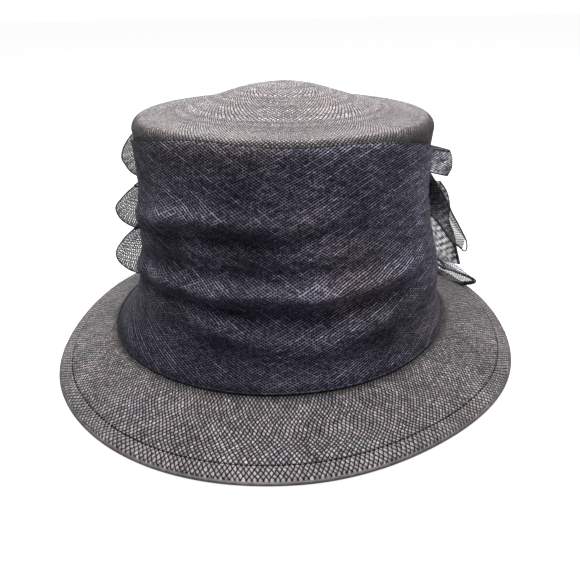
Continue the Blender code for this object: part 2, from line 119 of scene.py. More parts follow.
# Standing loops. tip: shares of the brim's half width, half depth and the side height
# above the brim; root: height on the knot; width at the tip; fullness of the loop; corner:
# how far its corners are drawn in; roll: radius of its rolled edge; lower, tip low and tip
# high: the roll's thickness below and round the tip; mesh: thread pitch against the swathe's
LOOPS = (
    # name, tip x, tip y, tip z, root, width, fullness, corner, roll, lower, tip low, tip high, mesh
    ("loop_left_upper", -0.775, 0.333, 0.842, 0.62, 0.290, 1.00, 0.10, 0.00065,
     1.0, 0.7, 0.7, 1.08),
    ("loop_left_middle", -0.835, 0.333, 0.520, 0.00, 0.290, 1.00, 0.13, 0.00065,
     1.0, 0.7, 0.7, 1.12),
    ("loop_left_lower", -0.862, 0.333, 0.225, -0.70, 0.330, 1.00, 0.13, 0.00065,
     1.0, 0.7, 0.7, 1.35),
    ("loop_right_upper", 0.815, 0.333, 0.780, 0.62, 0.158, 0.70, 0.02, 0.00055,
     1.0, 0.7, 0.7, 1.08),
    ("loop_right_lower", 0.960, 0.247, 0.070, -0.70, 0.105, 0.75, 0.16, 0.00085,
     2.4167, 2.0, 0.8, 1.08),
)

# Sections across the long flap of the right side, from the knot out
FLAP_SECTIONS = (
    # x, y, top, bottom
    (0.120, 0.700, 0.680, 0.590),
    (0.340, 0.730, 0.764, 0.554),
    (0.560, 0.650, 0.783, 0.503),
    (0.720, 0.530, 0.730, 0.460),
    (0.800, 0.450, 0.625, 0.385),
    (0.875, 0.400, 0.465, 0.290),
    (0.930, 0.370, 0.360, 0.255),
)

# Sections down the inner fold beside the flap, in metres
LINING_SECTIONS = (
    # inner x, outer x, y, z
    (0.1007, 0.1138, 0.0860, 0.0712),
    (0.1009, 0.1192, 0.0840, 0.0634),
    (0.1003, 0.1207, 0.0780, 0.0546),
    (0.0998, 0.1193, 0.0720, 0.0460),
    (0.0992, 0.1216, 0.0660, 0.0373),
    (0.0987, 0.1232, 0.0600, 0.0273),
    (0.0984, 0.1250, 0.0550, 0.0184),
)

# Rings of the plait: outwards from each radius the round holds twice as many strands
PLAIT_RINGS = (0.0, 0.014, 0.0285, 0.057)

# Fineness of the grids
ROUND_COLUMNS = 432
DRAPE_COLUMNS = 420
DRAPE_ROWS = 230
RIBBON_STEPS = 150
RIBBON_ROWS = 22
LINING_STEPS = 80
LINING_ROWS = 30
KNOT_COLUMNS = 96
KNOT_ROWS = 61


class HatSizes(bpy.types.PropertyGroup):
    """Sizes of the hat."""

    crown_half_width: FloatProperty(
        name="Crown half width", description="Half the crown's width at its shoulder",
        default=0.0840, unit="LENGTH")
    crown_half_depth: FloatProperty(
        name="Crown half depth", description="Half the crown's depth at its shoulder",
        default=0.0880, unit="LENGTH")
    crown_side_height: FloatProperty(
        name="Crown side height", description="Height of the crown's side above the brim's root",
        default=0.1040, unit="LENGTH")
    dome_rise: FloatProperty(
        name="Dome rise", description="Rise of the tip above the shoulder",
        default=0.0145, unit="LENGTH")
    root_height: FloatProperty(
        name="Root height", description="Height of the brim's root above the surface",
        default=0.0260, unit="LENGTH")
    brim_half_width: FloatProperty(
        name="Brim half width", description="Half the brim's width",
        default=0.1372, unit="LENGTH")
    brim_half_depth: FloatProperty(
        name="Brim half depth", description="Half the brim's depth",
        default=0.1500, unit="LENGTH")
    hem_width: FloatProperty(
        name="Hem width", description="Width of the folded hem at the brim's edge",
        default=0.0076, unit="LENGTH")
    fold_rise: FloatProperty(
        name="Fold rise", description="How far the swathe's folds stand out",
        default=0.0062, unit="LENGTH")
    looseness: FloatProperty(
        name="Looseness", description="How far the swathe stands off the crown",
        default=0.0110, unit="LENGTH")
    strand_width: FloatProperty(
        name="Straw width", description="Width of one plaited straw",
        default=0.00148, unit="LENGTH")
    thread_pitch: FloatProperty(
        name="Thread pitch", description="Distance between two sinamay threads",
        default=0.00108, unit="LENGTH")


class HatFinish(bpy.types.PropertyGroup):
    """Colours of the hat."""

    straw: FloatVectorProperty(
        name="Straw", description="Colour of the plaited straw",
        default=(0.400, 0.362, 0.368), subtype="COLOR", min=0.0, max=1.0)
    straw_gap: FloatVectorProperty(
        name="Straw gap", description="Colour in the gaps of the plait",
        default=(0.007, 0.006, 0.010), subtype="COLOR", min=0.0, max=1.0)
    thread: FloatVectorProperty(
        name="Sinamay thread", description="Colour of the sinamay's threads",
        default=(0.198, 0.194, 0.232), subtype="COLOR", min=0.0, max=1.0)
    ground: FloatVectorProperty(
        name="Sinamay ground", description="Colour of the layers under the outer threads",
        default=(0.0050, 0.0042, 0.0150), subtype="COLOR", min=0.0, max=1.0)


# Sizes that the panel doesn't offer. Lengths are in metres, directions in degrees and
# thread angles in radians; the rest are shares or counts.
STRAW_WALL = 0.0015
CLEARANCE = 0.0004
SINAMAY_WALL = 0.0012
SHOULDER_RADIUS = 0.0065
DOME_SHIFT_BACK = 0.0130
TIP_LEAN_RIGHT = 0.0007
BRIM_BOW = 0.15
COLLAR_HEIGHT = 0.0110
HEM_RAISE = 0.0002
RIM_LIFT = 0.0030
RIM_LIFT_DIRECTION = 100.0
RIM_LIFT_SPAN = 70.0
GROOVE_DEPTH = 0.00018
GROOVE_HALF = 0.0010
LIP_RADIUS = 0.00095
EDGE_HEIGHT = 1.9 * LIP_RADIUS
HEM_LAND = 1.6 * LIP_RADIUS
UNDERSIDE_START = 3.2 * LIP_RADIUS
FLOOR_HEIGHT = -0.0004
# The photograph's camera: side, focus and shift in pixels, pitch in degrees, roll in radians
PHOTO_SIDE = 580.0
PHOTO_FOCUS = 640.0
PHOTO_SHIFT = 4.6
CAMERA_DOWNWARD = 24.5
CAMERA_ROLL = -0.0155
CAMERA_PLACE = (0.0, -0.3704, 0.1938)

STRAY_COUNT = 90
STRAY_RADIUS = 0.00009
STRAY_ROOT_DEPTH = 0.0004

BRIM_PLAIT_ANGLE = np.radians(54.0)
BRIM_PLAIT_SPREAD = 1.06
BRIM_PLAIT_SWAY = 0.8
SHOULDER_RING = 45
DOME_RINGS = 51
CROWN_CREASE_RISE = 0.00022
CROWN_CREASE_WIDTH = 0.0012
CROWN_UNEVENNESS = 0.00035

DRAPE_FLARE = 0.0220
DRAPE_CRUMPLE = 0.00055
DRAPE_SLACK = (0.62, 0.19)
DRAPE_OWN_LENGTH = 0.12
DRAPE_THREAD_ANGLES = (np.radians(34.0), np.radians(27.0))
DRAPE_WARP = 0.0013
DRAPE_OPEN_FOOT = 0.012
DRAPE_EDGE_EASE = 0.0030
DRAPE_SWING_SHARE = 0.30
DRAPE_TOP_ROLL = 0.00022
DRAPE_FOOT_ROLL = 0.00035
DRAPE_OPENNESS = 0.85

FOLD_SWAY = 0.0012
FOLD_UNEVENNESS = 0.5
FOLD_CREST_SHARE = 0.55
FOLD_UPPER_SPREAD = 0.0120
FOLD_CREST_SPREAD = 0.0046
FOLD_LOWER_SPREAD = 0.0062
FOLD_CRISPNESS = (0.7, 0.3, 0.85, 0.3)
FOLD_LIT_ABOVE = 0.0025
FOLD_LIT_SPREAD = 0.0042
FOLD_POCKET_BELOW = 0.0070
FOLD_POCKET_SPREAD = 0.0062
FOLD_POCKET_SHARE = 0.85
TUCK_SHARE = 0.12
TUCK_UPPER = 0.0050
TUCK_LOWER = 0.0024

KNOT_HALF_WIDTH = 0.0150
KNOT_HALF_DEPTH = 0.0070
KNOT_HALF_HEIGHT = 0.0230
KNOT_SQUARENESS = 0.62
KNOT_PLEAT = 0.05

LOOP_ROOT_WIDTH = 0.0100
LOOP_HALF_GAP = 0.0080
LOOP_BOW = 0.0070
LOOP_ROOT_SHARE = 0.35
LOOP_WIDENING = 0.8
LOOP_PUCKER = 0.0006
LOOP_THREAD_ANGLE = np.radians(38.0)
RIBBON_WALL = 0.00035

FLAP_THREAD_ANGLE = np.radians(40.0)
FLAP_MESH = 0.92
FLAP_CURL = 0.0060
FLAP_ROOT_POWER = 4
FLAP_CLOSED = 0.85
FLAP_UPPER_ROLL = 0.0005
FLAP_ROLL_GROWTH = 0.0003
LINING_TURN_IN = 0.010
LINING_WAVE = 0.0006
LINING_UPPER_ROLL = 0.0004
LINING_ROLL_GROWTH = 0.0006


def curve_through(x, known_x, known_y):
    """Smooth curve through known points: cubic pieces with central slopes."""
    known_x = np.asarray(known_x, float)
    known_y = np.asarray(known_y, float)
    slopes = np.gradient(known_y, known_x)
    x = np.clip(x, known_x[0], known_x[-1])
    i = np.clip(np.searchsorted(known_x, x, side="right") - 1, 0, len(known_x) - 2)
    step = known_x[i + 1] - known_x[i]
    t = (x - known_x[i]) / step
    value = known_y[i] * (1 - t) ** 2 * (1 + 2 * t)
    value = value + known_y[i + 1] * t ** 2 * (3 - 2 * t)
    value = value + slopes[i] * step * t * (1 - t) ** 2
    return value - slopes[i + 1] * step * t ** 2 * (1 - t)


def curve_round(direction, known_directions, known_values):
    """The same curve on a full turn of directions, closed on itself."""
    turn = np.asarray(known_directions, float)
    values = np.asarray(known_values, float)
    wide_turn = np.concatenate([turn - 360.0, turn, turn + 360.0])
    return curve_through(np.mod(direction, 360.0), wide_turn, np.tile(values, 3))


def column(table, index):
    """One column of a table of rows."""
    return [row[index] for row in table]


def round_the_head(direction, index):
    """A column of ROUND_THE_HEAD at any direction."""
    return curve_round(direction, column(ROUND_THE_HEAD, 0), column(ROUND_THE_HEAD, index))


def heading(direction):
    """Unit steps to the right and to the front: sin and -cos of the direction."""
    angle = np.radians(direction)
    return np.sin(angle), -np.cos(angle)


def smooth_step(value, low, high):
    """0 below low, 1 above high, and 3t^2 - 2t^3 between."""
    t = np.clip((value - low) / (high - low), 0.0, 1.0)
    return t * t * (3 - 2 * t)


def ripple(a, b, seed):
    """Soft unevenness from -1 to 1: the mean of six sine waves of a and b, fixed by a seed."""
    rng = np.random.default_rng(seed)
    total = 0.0
    for _wave in range(6):
        angle, phase = rng.uniform(0, 2 * np.pi, 2)
        length = rng.uniform(0.6, 1.7)
        total = total + np.sin((a * np.cos(angle) + b * np.sin(angle)) * length * 2 * np.pi + phase)
    return total / 6


def crown_half_axes(size, height):
    """The crown's outer half width and half depth at a height above the root."""
    share = height / size.crown_side_height
    heights = column(CROWN_SECTIONS, 0)
    width = size.crown_half_width * curve_through(share, heights, column(CROWN_SECTIONS, 1))
    depth = size.crown_half_depth * curve_through(share, heights, column(CROWN_SECTIONS, 2))
    return width, depth


def crown_point(size, direction, height, inset=0.0):
    """A point of the crown's side: an ellipse whose half axes follow the height."""
    width, depth = crown_half_axes(size, height)
    right, front = heading(direction)
    lean = TIP_LEAN_RIGHT * right * height / size.crown_side_height
    x = (width - inset) * right
    y = (depth - inset) * front
    return np.stack([x, y, size.root_height + height - lean + 0 * x], axis=-1)


def rim_outline(size, direction):
    """The brim's outer edge in plan: an ellipse times the reach, its box on the origin."""
    sample = np.arange(0.0, 360.0, 0.5)

    def plain(angle):
        reach = round_the_head(angle, 1)
        right, front = heading(angle)
        return size.brim_half_width * reach * right, size.brim_half_depth * reach * front

    all_x, all_y = plain(sample)
    x, y = plain(direction)
    centre_x = (all_x.max() + all_x.min()) / 2
    centre_y = (all_y.max() + all_y.min()) / 2
    return x - centre_x, y - centre_y


def rim_lift(direction):
    """How far the edge stands off the floor: half of 1 + cos across the lifted span."""
    away = np.abs(np.mod(direction - RIM_LIFT_DIRECTION + 180.0, 360.0) - 180.0)
    return RIM_LIFT * 0.5 * (1 + np.cos(np.pi * np.clip(away / RIM_LIFT_SPAN, 0, 1)))


def brim_point(size, direction, share, drop=0.0):
    """A point of the brim's upper face: from the root (0) to the edge (1) it falls on
    (1 - s)(1 + bow s)."""
    share = np.asarray(share, float)
    root = crown_point(size, direction, 0.0)
    rim_x, rim_y = rim_outline(size, direction)
    fall = (1 - share) * (1 + BRIM_BOW * share)
    top = EDGE_HEIGHT + (size.root_height - CLEARANCE - EDGE_HEIGHT) * fall
    x = root[..., 0] + (rim_x - root[..., 0]) * share
    y = root[..., 1] + (rim_y - root[..., 1]) * share
    z = top + rim_lift(direction) * share ** 2 - drop
    return np.stack([x + 0 * z, y + 0 * z, z], axis=-1)


def brim_width(size, direction):
    """Distance in plan from the crown's root to the brim's edge."""
    root = crown_point(size, direction, 0.0)
    rim_x, rim_y = rim_outline(size, direction)
    return np.hypot(rim_x - root[..., 0], rim_y - root[..., 1])


def brim_height_under(size, x, y):
    """Height of the brim's upper face below a point of the plan."""
    direction = np.degrees(np.arctan2(x / size.brim_half_width, -y / size.brim_half_depth))
    root = crown_point(size, direction, 0.0)
    from_root = np.hypot(x, y) - np.hypot(root[..., 0], root[..., 1])
    return brim_point(size, direction, from_root / brim_width(size, direction))[..., 2]


def ease_offset(size, direction, share):
    """The swathe's looseness at a share of its height, blended between directions."""
    known = [curve_through(share, column(EASE, 0), column(EASE, i)) for i in range(1, 5)]
    quarter = np.mod(direction, 360.0) / 90.0
    lower = np.floor(quarter).astype(int) % 4
    blend = 0.5 - 0.5 * np.cos(np.pi * (quarter - np.floor(quarter)))
    first = np.choose(lower, known)
    second = np.choose((lower + 1) % 4, known)
    return size.looseness * (first + (second - first) * blend)


def folds(size, direction, height):
    """How far the folds stand out, how far their lips hang down, and their shade.

    Each fold rises as a bell above its lip and falls as a narrower bell below it, and the
    cloth at the lip slides down over the pocket beneath. The shade is -1 on a lip that
    catches the light and 1 in the pocket below it, and fades further down.
    """
    out = np.zeros(np.broadcast(direction, height).shape)
    down = np.zeros_like(out)
    shade = np.zeros_like(out)
    for i, (heights, rises) in enumerate(FOLDS):
        crisp = FOLD_CRISPNESS[i]
        sway = ripple(direction / 55.0, i * 0.7, 40 + i)
        lip = size.crown_side_height * curve_round(direction, FOLD_DIRECTIONS, heights) + FOLD_SWAY * sway
        rise = size.fold_rise * curve_round(direction, FOLD_DIRECTIONS, rises)
        rise = rise * (1 + FOLD_UNEVENNESS * ripple(direction / 30.0, i * 1.3, 50 + i))
        above = height - lip
        broad = np.exp(-(above / FOLD_UPPER_SPREAD) ** 2)
        crest = np.exp(-(above / FOLD_CREST_SPREAD) ** 2)
        over = broad * (1 - FOLD_CREST_SHARE * crisp) + crest * FOLD_CREST_SHARE * crisp
        under = np.exp(-(above / (FOLD_LOWER_SPREAD * (2 - crisp))) ** 2)
        out = np.maximum(out, rise * np.where(above > 0, over, under))
        hang = np.where(above > 0, TUCK_UPPER, TUCK_LOWER)
        down = np.maximum(down, TUCK_SHARE * crisp * rise * np.exp(-(above / hang) ** 2))
        lit = np.exp(-((above - FOLD_LIT_ABOVE) / FOLD_LIT_SPREAD) ** 2)
        pocket = np.exp(-((above + FOLD_POCKET_BELOW) / FOLD_POCKET_SPREAD) ** 2)
        shade = shade + rise / size.fold_rise * (FOLD_POCKET_SHARE * pocket - lit)
    return out, down, np.clip(shade, -1.0, 1.0)


def drape_point(size, direction, share, crumple=0.0):
    """A point of the swathe's outer face, from its lower edge (0) to its top (1).

    The cloth stands a clearance off the crown; looseness and folds lift it, and near the
    brim it swings out to its flared edge. Past the crown's side it leans in with the
    shoulder's arc. crumple adds small creases on the bias.
    """
    direction, share = np.broadcast_arrays(np.asarray(direction, float), share)
    flare = DRAPE_FLARE * round_the_head(direction, 3)
    width_here = brim_width(size, direction)
    edge = brim_point(size, direction, flare / width_here)
    seat = brim_point(size, direction, (flare - SINAMAY_WALL) / width_here)
    bottom = seat[..., 2] + CLEARANCE
    top = size.root_height + size.crown_side_height * round_the_head(direction, 2)
    z = bottom + (top - bottom) * share
    height = np.clip(z - size.root_height, 0.0, size.crown_side_height)
    width, depth = crown_half_axes(size, height)
    right, front = heading(direction)
    edge_fade = np.clip((1 - share) * (top - bottom) / DRAPE_EDGE_EASE, 0.0, 1.0)
    out, down, _shade = folds(size, direction, height)
    over = np.clip(z - size.root_height - size.crown_side_height, 0.0, 0.95 * SHOULDER_RADIUS)
    offset = CLEARANCE + SINAMAY_WALL + ease_offset(size, direction, share) + out * edge_fade
    offset = offset - (SHOULDER_RADIUS - np.sqrt(SHOULDER_RADIUS ** 2 - over ** 2))
    if crumple:
        round_length = np.radians(direction) * size.crown_half_width
        low = smooth_step(share, 0.0, 0.12) * smooth_step(1 - share, 0.0, 0.10)
        crease = ripple(round_length / 0.020 + height / 0.012, height / 0.006, 3)
        crease = crease + 0.6 * ripple(round_length / 0.009, height / 0.0035, 5)
        offset = offset + crumple * low * np.maximum(crease, -0.4)
    wall_x = (width + offset) * right
    wall_y = (depth + offset) * front
    swing = np.clip(1 - share / DRAPE_SWING_SHARE, 0.0, 1.0) ** 2
    x = wall_x + (edge[..., 0] - wall_x) * swing
    y = wall_y + (edge[..., 1] - wall_y) * swing
    lean = TIP_LEAN_RIGHT * right * height / size.crown_side_height
    return np.stack([x, y, z - lean - down * edge_fade * (1 - swing)], axis=-1)


def knot_share(offset):
    """The knot's girth at a height from its middle, as a share of its full girth."""
    height = np.clip(np.abs(offset) / KNOT_HALF_HEIGHT, 0.0, 1.0)
    return (1 - height ** (2 / KNOT_SQUARENESS)) ** (KNOT_SQUARENESS / 2)


def knot_centre():
    """The knot's middle: where the knot's solid stands in the frame."""
    low, high = (np.array(corner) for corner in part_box("knot"))
    return (low + high) / 2


def grid_faces(rows, columns, close_rows, close_columns):
    """Corners of a grid's four-sided faces, and the grid place of each corner."""
    i = np.arange(rows if close_rows else rows - 1)
    j = np.arange(columns if close_columns else columns - 1)
    i, j = np.meshgrid(i, j, indexing="ij")
    corner_rows = np.stack([i, i, i + 1, i + 1], axis=-1).reshape(-1, 4)
    corner_columns = np.stack([j, j + 1, j + 1, j], axis=-1).reshape(-1, 4)
    return corner_rows, corner_columns


def grid_piece(name, points, uv, materials, close_rows=False, close_columns=False,
               flip=False, slots=None, marks=None):
    """A mesh from a grid of points.

    uv has one row of values for the low and one for the high side of each row of faces.
    slots gives each row of faces its material. marks are named values on the points.
    """
    rows, columns = points.shape[:2]
    corner_rows, corner_columns = grid_faces(rows, columns, close_rows, close_columns)
    faces = (corner_rows % rows) * columns + corner_columns % columns
    side = np.array([0, 0, 1, 1])[None, :] + 0 * corner_rows
    corner_uv = uv[corner_rows[:, :1] + 0 * corner_rows, side, corner_columns]
    if flip:
        faces = faces[:, ::-1]
        corner_uv = corner_uv[:, ::-1]
    mesh = bpy.data.meshes.new(name)
    mesh.vertices.add(rows * columns)
    mesh.vertices.foreach_set("co", points.astype(np.float32).ravel())
    mesh.loops.add(faces.size)
    mesh.loops.foreach_set("vertex_index", faces.astype(np.int32).ravel())
    mesh.polygons.add(len(faces))
    mesh.polygons.foreach_set("loop_start", np.arange(len(faces), dtype=np.int32) * 4)
    mesh.uv_layers.new(name="strands")
    mesh.uv_layers["strands"].data.foreach_set("uv", corner_uv.astype(np.float32).ravel())
    for material in materials:
        mesh.materials.append(material)
    if slots is not None:
        mesh.polygons.foreach_set("material_index", np.asarray(slots)[corner_rows[:, 0]].astype(np.int32))
    for mark, values in (marks or {}).items():
        layer = mesh.attributes.new(mark, "FLOAT", "POINT")
        layer.data.foreach_set("value", values.astype(np.float32).ravel())
    mesh.update(calc_edges=True)
    mesh.validate()
    return mesh


def paired(values):
    """Grid values as the low and high side of each row of faces."""
    return np.stack([values[:-1], values[1:]], axis=1)


def close_poles(mesh):
    """Merge the points that a pole or a shut end repeats."""
    work = bmesh.new()
    work.from_mesh(mesh)
    bmesh.ops.remove_doubles(work, verts=work.verts, dist=1e-7)
    work.to_mesh(mesh)
    work.free()


def add_piece(name, mesh, node=None, thickness=0.0):
    """Put a mesh in the scene as a piece that rides on the hat."""
    old = bpy.data.objects.get(name)
    if old:
        bpy.data.objects.remove(old, do_unlink=True)
    mesh.shade_smooth()
    piece = bpy.data.objects.new(name, mesh)
    bpy.context.scene.collection.objects.link(piece)
    if thickness:
        wall = piece.modifiers.new("Wall", "SOLIDIFY")
        wall.thickness = thickness
        wall.offset = 0.0
    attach(piece, "root")
    if node:
        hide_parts(node)
    return piece


def tube(path, radius, sides=8, closed=False, shut=True):
    """Rings of points carried along a path, square to it; an open tube may be shut."""
    path = np.asarray(path, float)
    radius = np.broadcast_to(np.asarray(radius, float), (len(path),))
    if closed:
        along = np.roll(path, -1, axis=0) - np.roll(path, 1, axis=0)
    else:
        along = np.gradient(path, axis=0)
    along = along / np.linalg.norm(along, axis=1)[:, None]
    axis = np.eye(3)[np.argmin(np.abs(along).max(axis=0))]
    first = np.cross(along, axis)
    first = first / np.linalg.norm(first, axis=1)[:, None]
    second = np.cross(along, first)
    angle = np.linspace(0, 2 * np.pi, sides, endpoint=False)
    ring = np.cos(angle)[None, :, None] * first[:, None] + np.sin(angle)[None, :, None] * second[:, None]
    points = path[:, None] + radius[:, None, None] * ring
    if shut and not closed:
        points = np.concatenate([path[:1, None] + 0 * ring[:1], points, path[-1:, None] + 0 * ring[:1]])
    return points


def tube_mesh(name, path, radius, material, pitch, sides=8, closed=False):
    """The mesh of a tube whose threads run along it and wind round it."""
    points = tube(path, radius, sides, closed)
    steps = np.linalg.norm(np.diff(points.mean(axis=1), axis=0), axis=1)
    length = np.concatenate([[0.0], np.cumsum(steps)])
    if closed:
        length = np.append(length, length[-1] + steps.mean())
    turn = np.linspace(0, 4.0, sides + 1)
    u = (length / pitch)[:, None] + turn[None, :]
    v = (length / pitch)[:, None] - turn[None, :]
    mesh = grid_piece(name, points, paired(np.stack([u, v], axis=-1)), [material],
                      close_rows=closed, close_columns=True)
    if not closed:
        close_poles(mesh)
    return mesh


def outward(mesh):
    """Turn a closed mesh so that its faces point out."""
    work = bmesh.new()
    work.from_mesh(mesh)
    if work.calc_volume(signed=True) < 0:
        bmesh.ops.reverse_faces(work, faces=work.faces)
    work.to_mesh(mesh)
    work.free()
    return mesh


def wire(tree, kind, inputs=None, **settings):
    """A node with its settings, whose inputs are constants or other nodes' outputs."""
    item = tree.nodes.new(kind)
    for key, value in settings.items():
        setattr(item, key, value)
    for key, value in (inputs or {}).items():
        if isinstance(value, bpy.types.NodeSocket):
            tree.links.new(value, item.inputs[key])
        else:
            item.inputs[key].default_value = value
    return item


def maths(tree, operation, *values, clamp=False):
    """The result of one Math node."""
    item = wire(tree, "ShaderNodeMath", dict(enumerate(values)), operation=operation, use_clamp=clamp)
    return item.outputs[0]


def blend_colour(tree, share, first, second, mode="MIX"):
    """The result of one colour Mix node."""
    item = wire(tree, "ShaderNodeMix", {0: share, 6: first, 7: second}, data_type="RGBA", blend_type=mode)
    return item.outputs[2]


def ranged(tree, value, low, high, to_low=0.0, to_high=1.0, smooth=True):
    """A Map Range node, smooth between its ends."""
    kind = "SMOOTHSTEP" if smooth else "LINEAR"
    item = wire(tree, "ShaderNodeMapRange",
                {0: value, 1: low, 2: high, 3: to_low, 4: to_high}, interpolation_type=kind)
    return item.outputs[0]


def new_group(name, inputs, outputs):
    """An empty shader group with named number and vector sockets."""
    tree = bpy.data.node_groups.new(name, "ShaderNodeTree")
    for label, kind in inputs:
        tree.interface.new_socket(name=label, in_out="INPUT", socket_type=kind)
    for label, kind in outputs:
        tree.interface.new_socket(name=label, in_out="OUTPUT", socket_type=kind)
    return tree, tree.nodes.new("NodeGroupInput"), tree.nodes.new("NodeGroupOutput")


def plait_group():
    """Plain plait of flat straws: each cell shows the upper of two crossing straws.

    The straw arches along its cell and rounds off across it; cells alternate like the
    squares of a board. Tone differs by straw, Cell by cell and Ring by pair of rows.
    """
    known = bpy.data.node_groups.get("Plain plait")
    if known:
        return known
    value, vector = "NodeSocketFloat", "NodeSocketVector"
    tree, given, result = new_group(
        "Plain plait", [("Strands", vector), ("Gap", value)],
        [("Height", value), ("Straw", value), ("Tone", value), ("Cell", value), ("Ring", value)])
    split = wire(tree, "ShaderNodeSeparateXYZ", {0: given.outputs["Strands"]})
    p, q = split.outputs[0], split.outputs[1]
    i, j = maths(tree, "FLOOR", p), maths(tree, "FLOOR", q)
    in_p, in_q = maths(tree, "FRACT", p), maths(tree, "FRACT", q)
    odd = maths(tree, "FLOORED_MODULO", maths(tree, "ADD", i, j), 2.0)

    def chosen(even_value, odd_value):
        difference = maths(tree, "SUBTRACT", odd_value, even_value)
        return maths(tree, "MULTIPLY_ADD", difference, odd, even_value)

    def hump(share):
        centred = maths(tree, "MULTIPLY_ADD", share, 2.0, -1.0)
        return maths(tree, "SUBTRACT", 1.0, maths(tree, "MULTIPLY", centred, centred))

    across, along = hump(chosen(in_p, in_q)), hump(chosen(in_q, in_p))
    arch = maths(tree, "MULTIPLY_ADD", along, 0.55, 0.45)
    height = maths(tree, "MULTIPLY", maths(tree, "POWER", across, 0.6), arch)
    gap = given.outputs["Gap"]
    straw = ranged(tree, across, maths(tree, "MULTIPLY", gap, 0.38), gap)
    ends = ranged(tree, along, 0.15, 0.85, 0.0, 1.0)
    strand_id = wire(tree, "ShaderNodeCombineXYZ", {0: chosen(i, j), 1: odd, 2: 3.7})
    tone = wire(tree, "ShaderNodeTexWhiteNoise", {0: strand_id.outputs[0]}, noise_dimensions="3D")
    cell_id = wire(tree, "ShaderNodeCombineXYZ", {0: i, 1: j, 2: 9.1})
    cell = wire(tree, "ShaderNodeTexWhiteNoise", {0: cell_id.outputs[0]}, noise_dimensions="3D")
    row = maths(tree, "FLOOR", maths(tree, "MULTIPLY", maths(tree, "SUBTRACT", i, j), 0.5))
    row_id = wire(tree, "ShaderNodeCombineXYZ", {0: row, 2: 5.3})
    ring = wire(tree, "ShaderNodeTexWhiteNoise", {0: row_id.outputs[0]}, noise_dimensions="3D")
    for label, socket in (("Height", height), ("Straw", maths(tree, "MULTIPLY", straw, ends)),
                          ("Ring", ring.outputs["Value"]),
                          ("Tone", tone.outputs["Value"]), ("Cell", cell.outputs["Value"])):
        tree.links.new(socket, result.inputs[label])
    return tree


def open_weave_group():
    """Two crossing families of threads with open gaps between them.

    Each family gives its own threads, brighter and duller ones by chance, so that one
    can catch the light more than the other.
    """
    known = bpy.data.node_groups.get("Open weave")
    if known:
        return known
    value, vector = "NodeSocketFloat", "NodeSocketVector"
    tree, given, result = new_group(
        "Open weave", [("Threads", vector), ("Width", value)],
        [("Cover", value), ("First", value), ("Second", value), ("Height", value)])
    split = wire(tree, "ShaderNodeSeparateXYZ", {0: given.outputs["Threads"]})
    width = given.outputs["Width"]
    inner, outer = maths(tree, "MULTIPLY", width, 0.72), maths(tree, "MULTIPLY", width, 1.28)
    covers, heights = [], []
    for family, label in enumerate(("First", "Second")):
        place = split.outputs[family]
        centred = maths(tree, "MULTIPLY_ADD", maths(tree, "FRACT", place), 2.0, -1.0)
        away = maths(tree, "ABSOLUTE", centred)
        cover = ranged(tree, away, outer, inner)
        run = maths(tree, "MULTIPLY", split.outputs[1 - family], 0.16)
        slub = wire(tree, "ShaderNodeCombineXYZ",
                    {0: maths(tree, "FLOOR", place), 1: run, 2: float(family * 5)})
        along = wire(tree, "ShaderNodeTexNoise", {"Vector": slub.outputs[0], "Scale": 1.0, "Detail": 2.0})
        number = wire(tree, "ShaderNodeCombineXYZ",
                      {0: maths(tree, "FLOOR", place), 1: float(family), 2: 0.5})
        chance = wire(tree, "ShaderNodeTexWhiteNoise", {0: number.outputs[0]}, noise_dimensions="3D")
        tone = maths(tree, "POWER", chance.outputs["Value"], 4.0)
        tone = maths(tree, "MULTIPLY_ADD", tone, 0.65, 0.62)
        tone = maths(tree, "MULTIPLY", tone, ranged(tree, along.outputs[0], 0.3, 0.7, 0.55, 1.35))
        tree.links.new(maths(tree, "MULTIPLY", cover, tone), result.inputs[label])
        covers.append(cover)
        heights.append(maths(tree, "SUBTRACT", 1.0, maths(tree, "MULTIPLY", away, away)))
    tree.links.new(maths(tree, "MAXIMUM", *covers), result.inputs["Cover"])
    tree.links.new(maths(tree, "MAXIMUM", *heights), result.inputs["Height"])
    return tree


def new_material(name):
    """A material and its tree, with only the Principled shader wired to the output."""
    old = bpy.data.materials.get(name)
    if old:
        return old, None, None
    material = bpy.data.materials.new(name)
    material.use_nodes = True
    tree = material.node_tree
    return material, tree, tree.nodes["Principled BSDF"]


def noise_over(tree, place, scale, detail, roughness=0.5):
    """Noise over the piece's own coordinates."""
    return wire(tree, "ShaderNodeTexNoise",
                {"Vector": place.outputs["Object"], "Scale": scale, "Detail": detail,
                 "Roughness": roughness}).outputs[0]


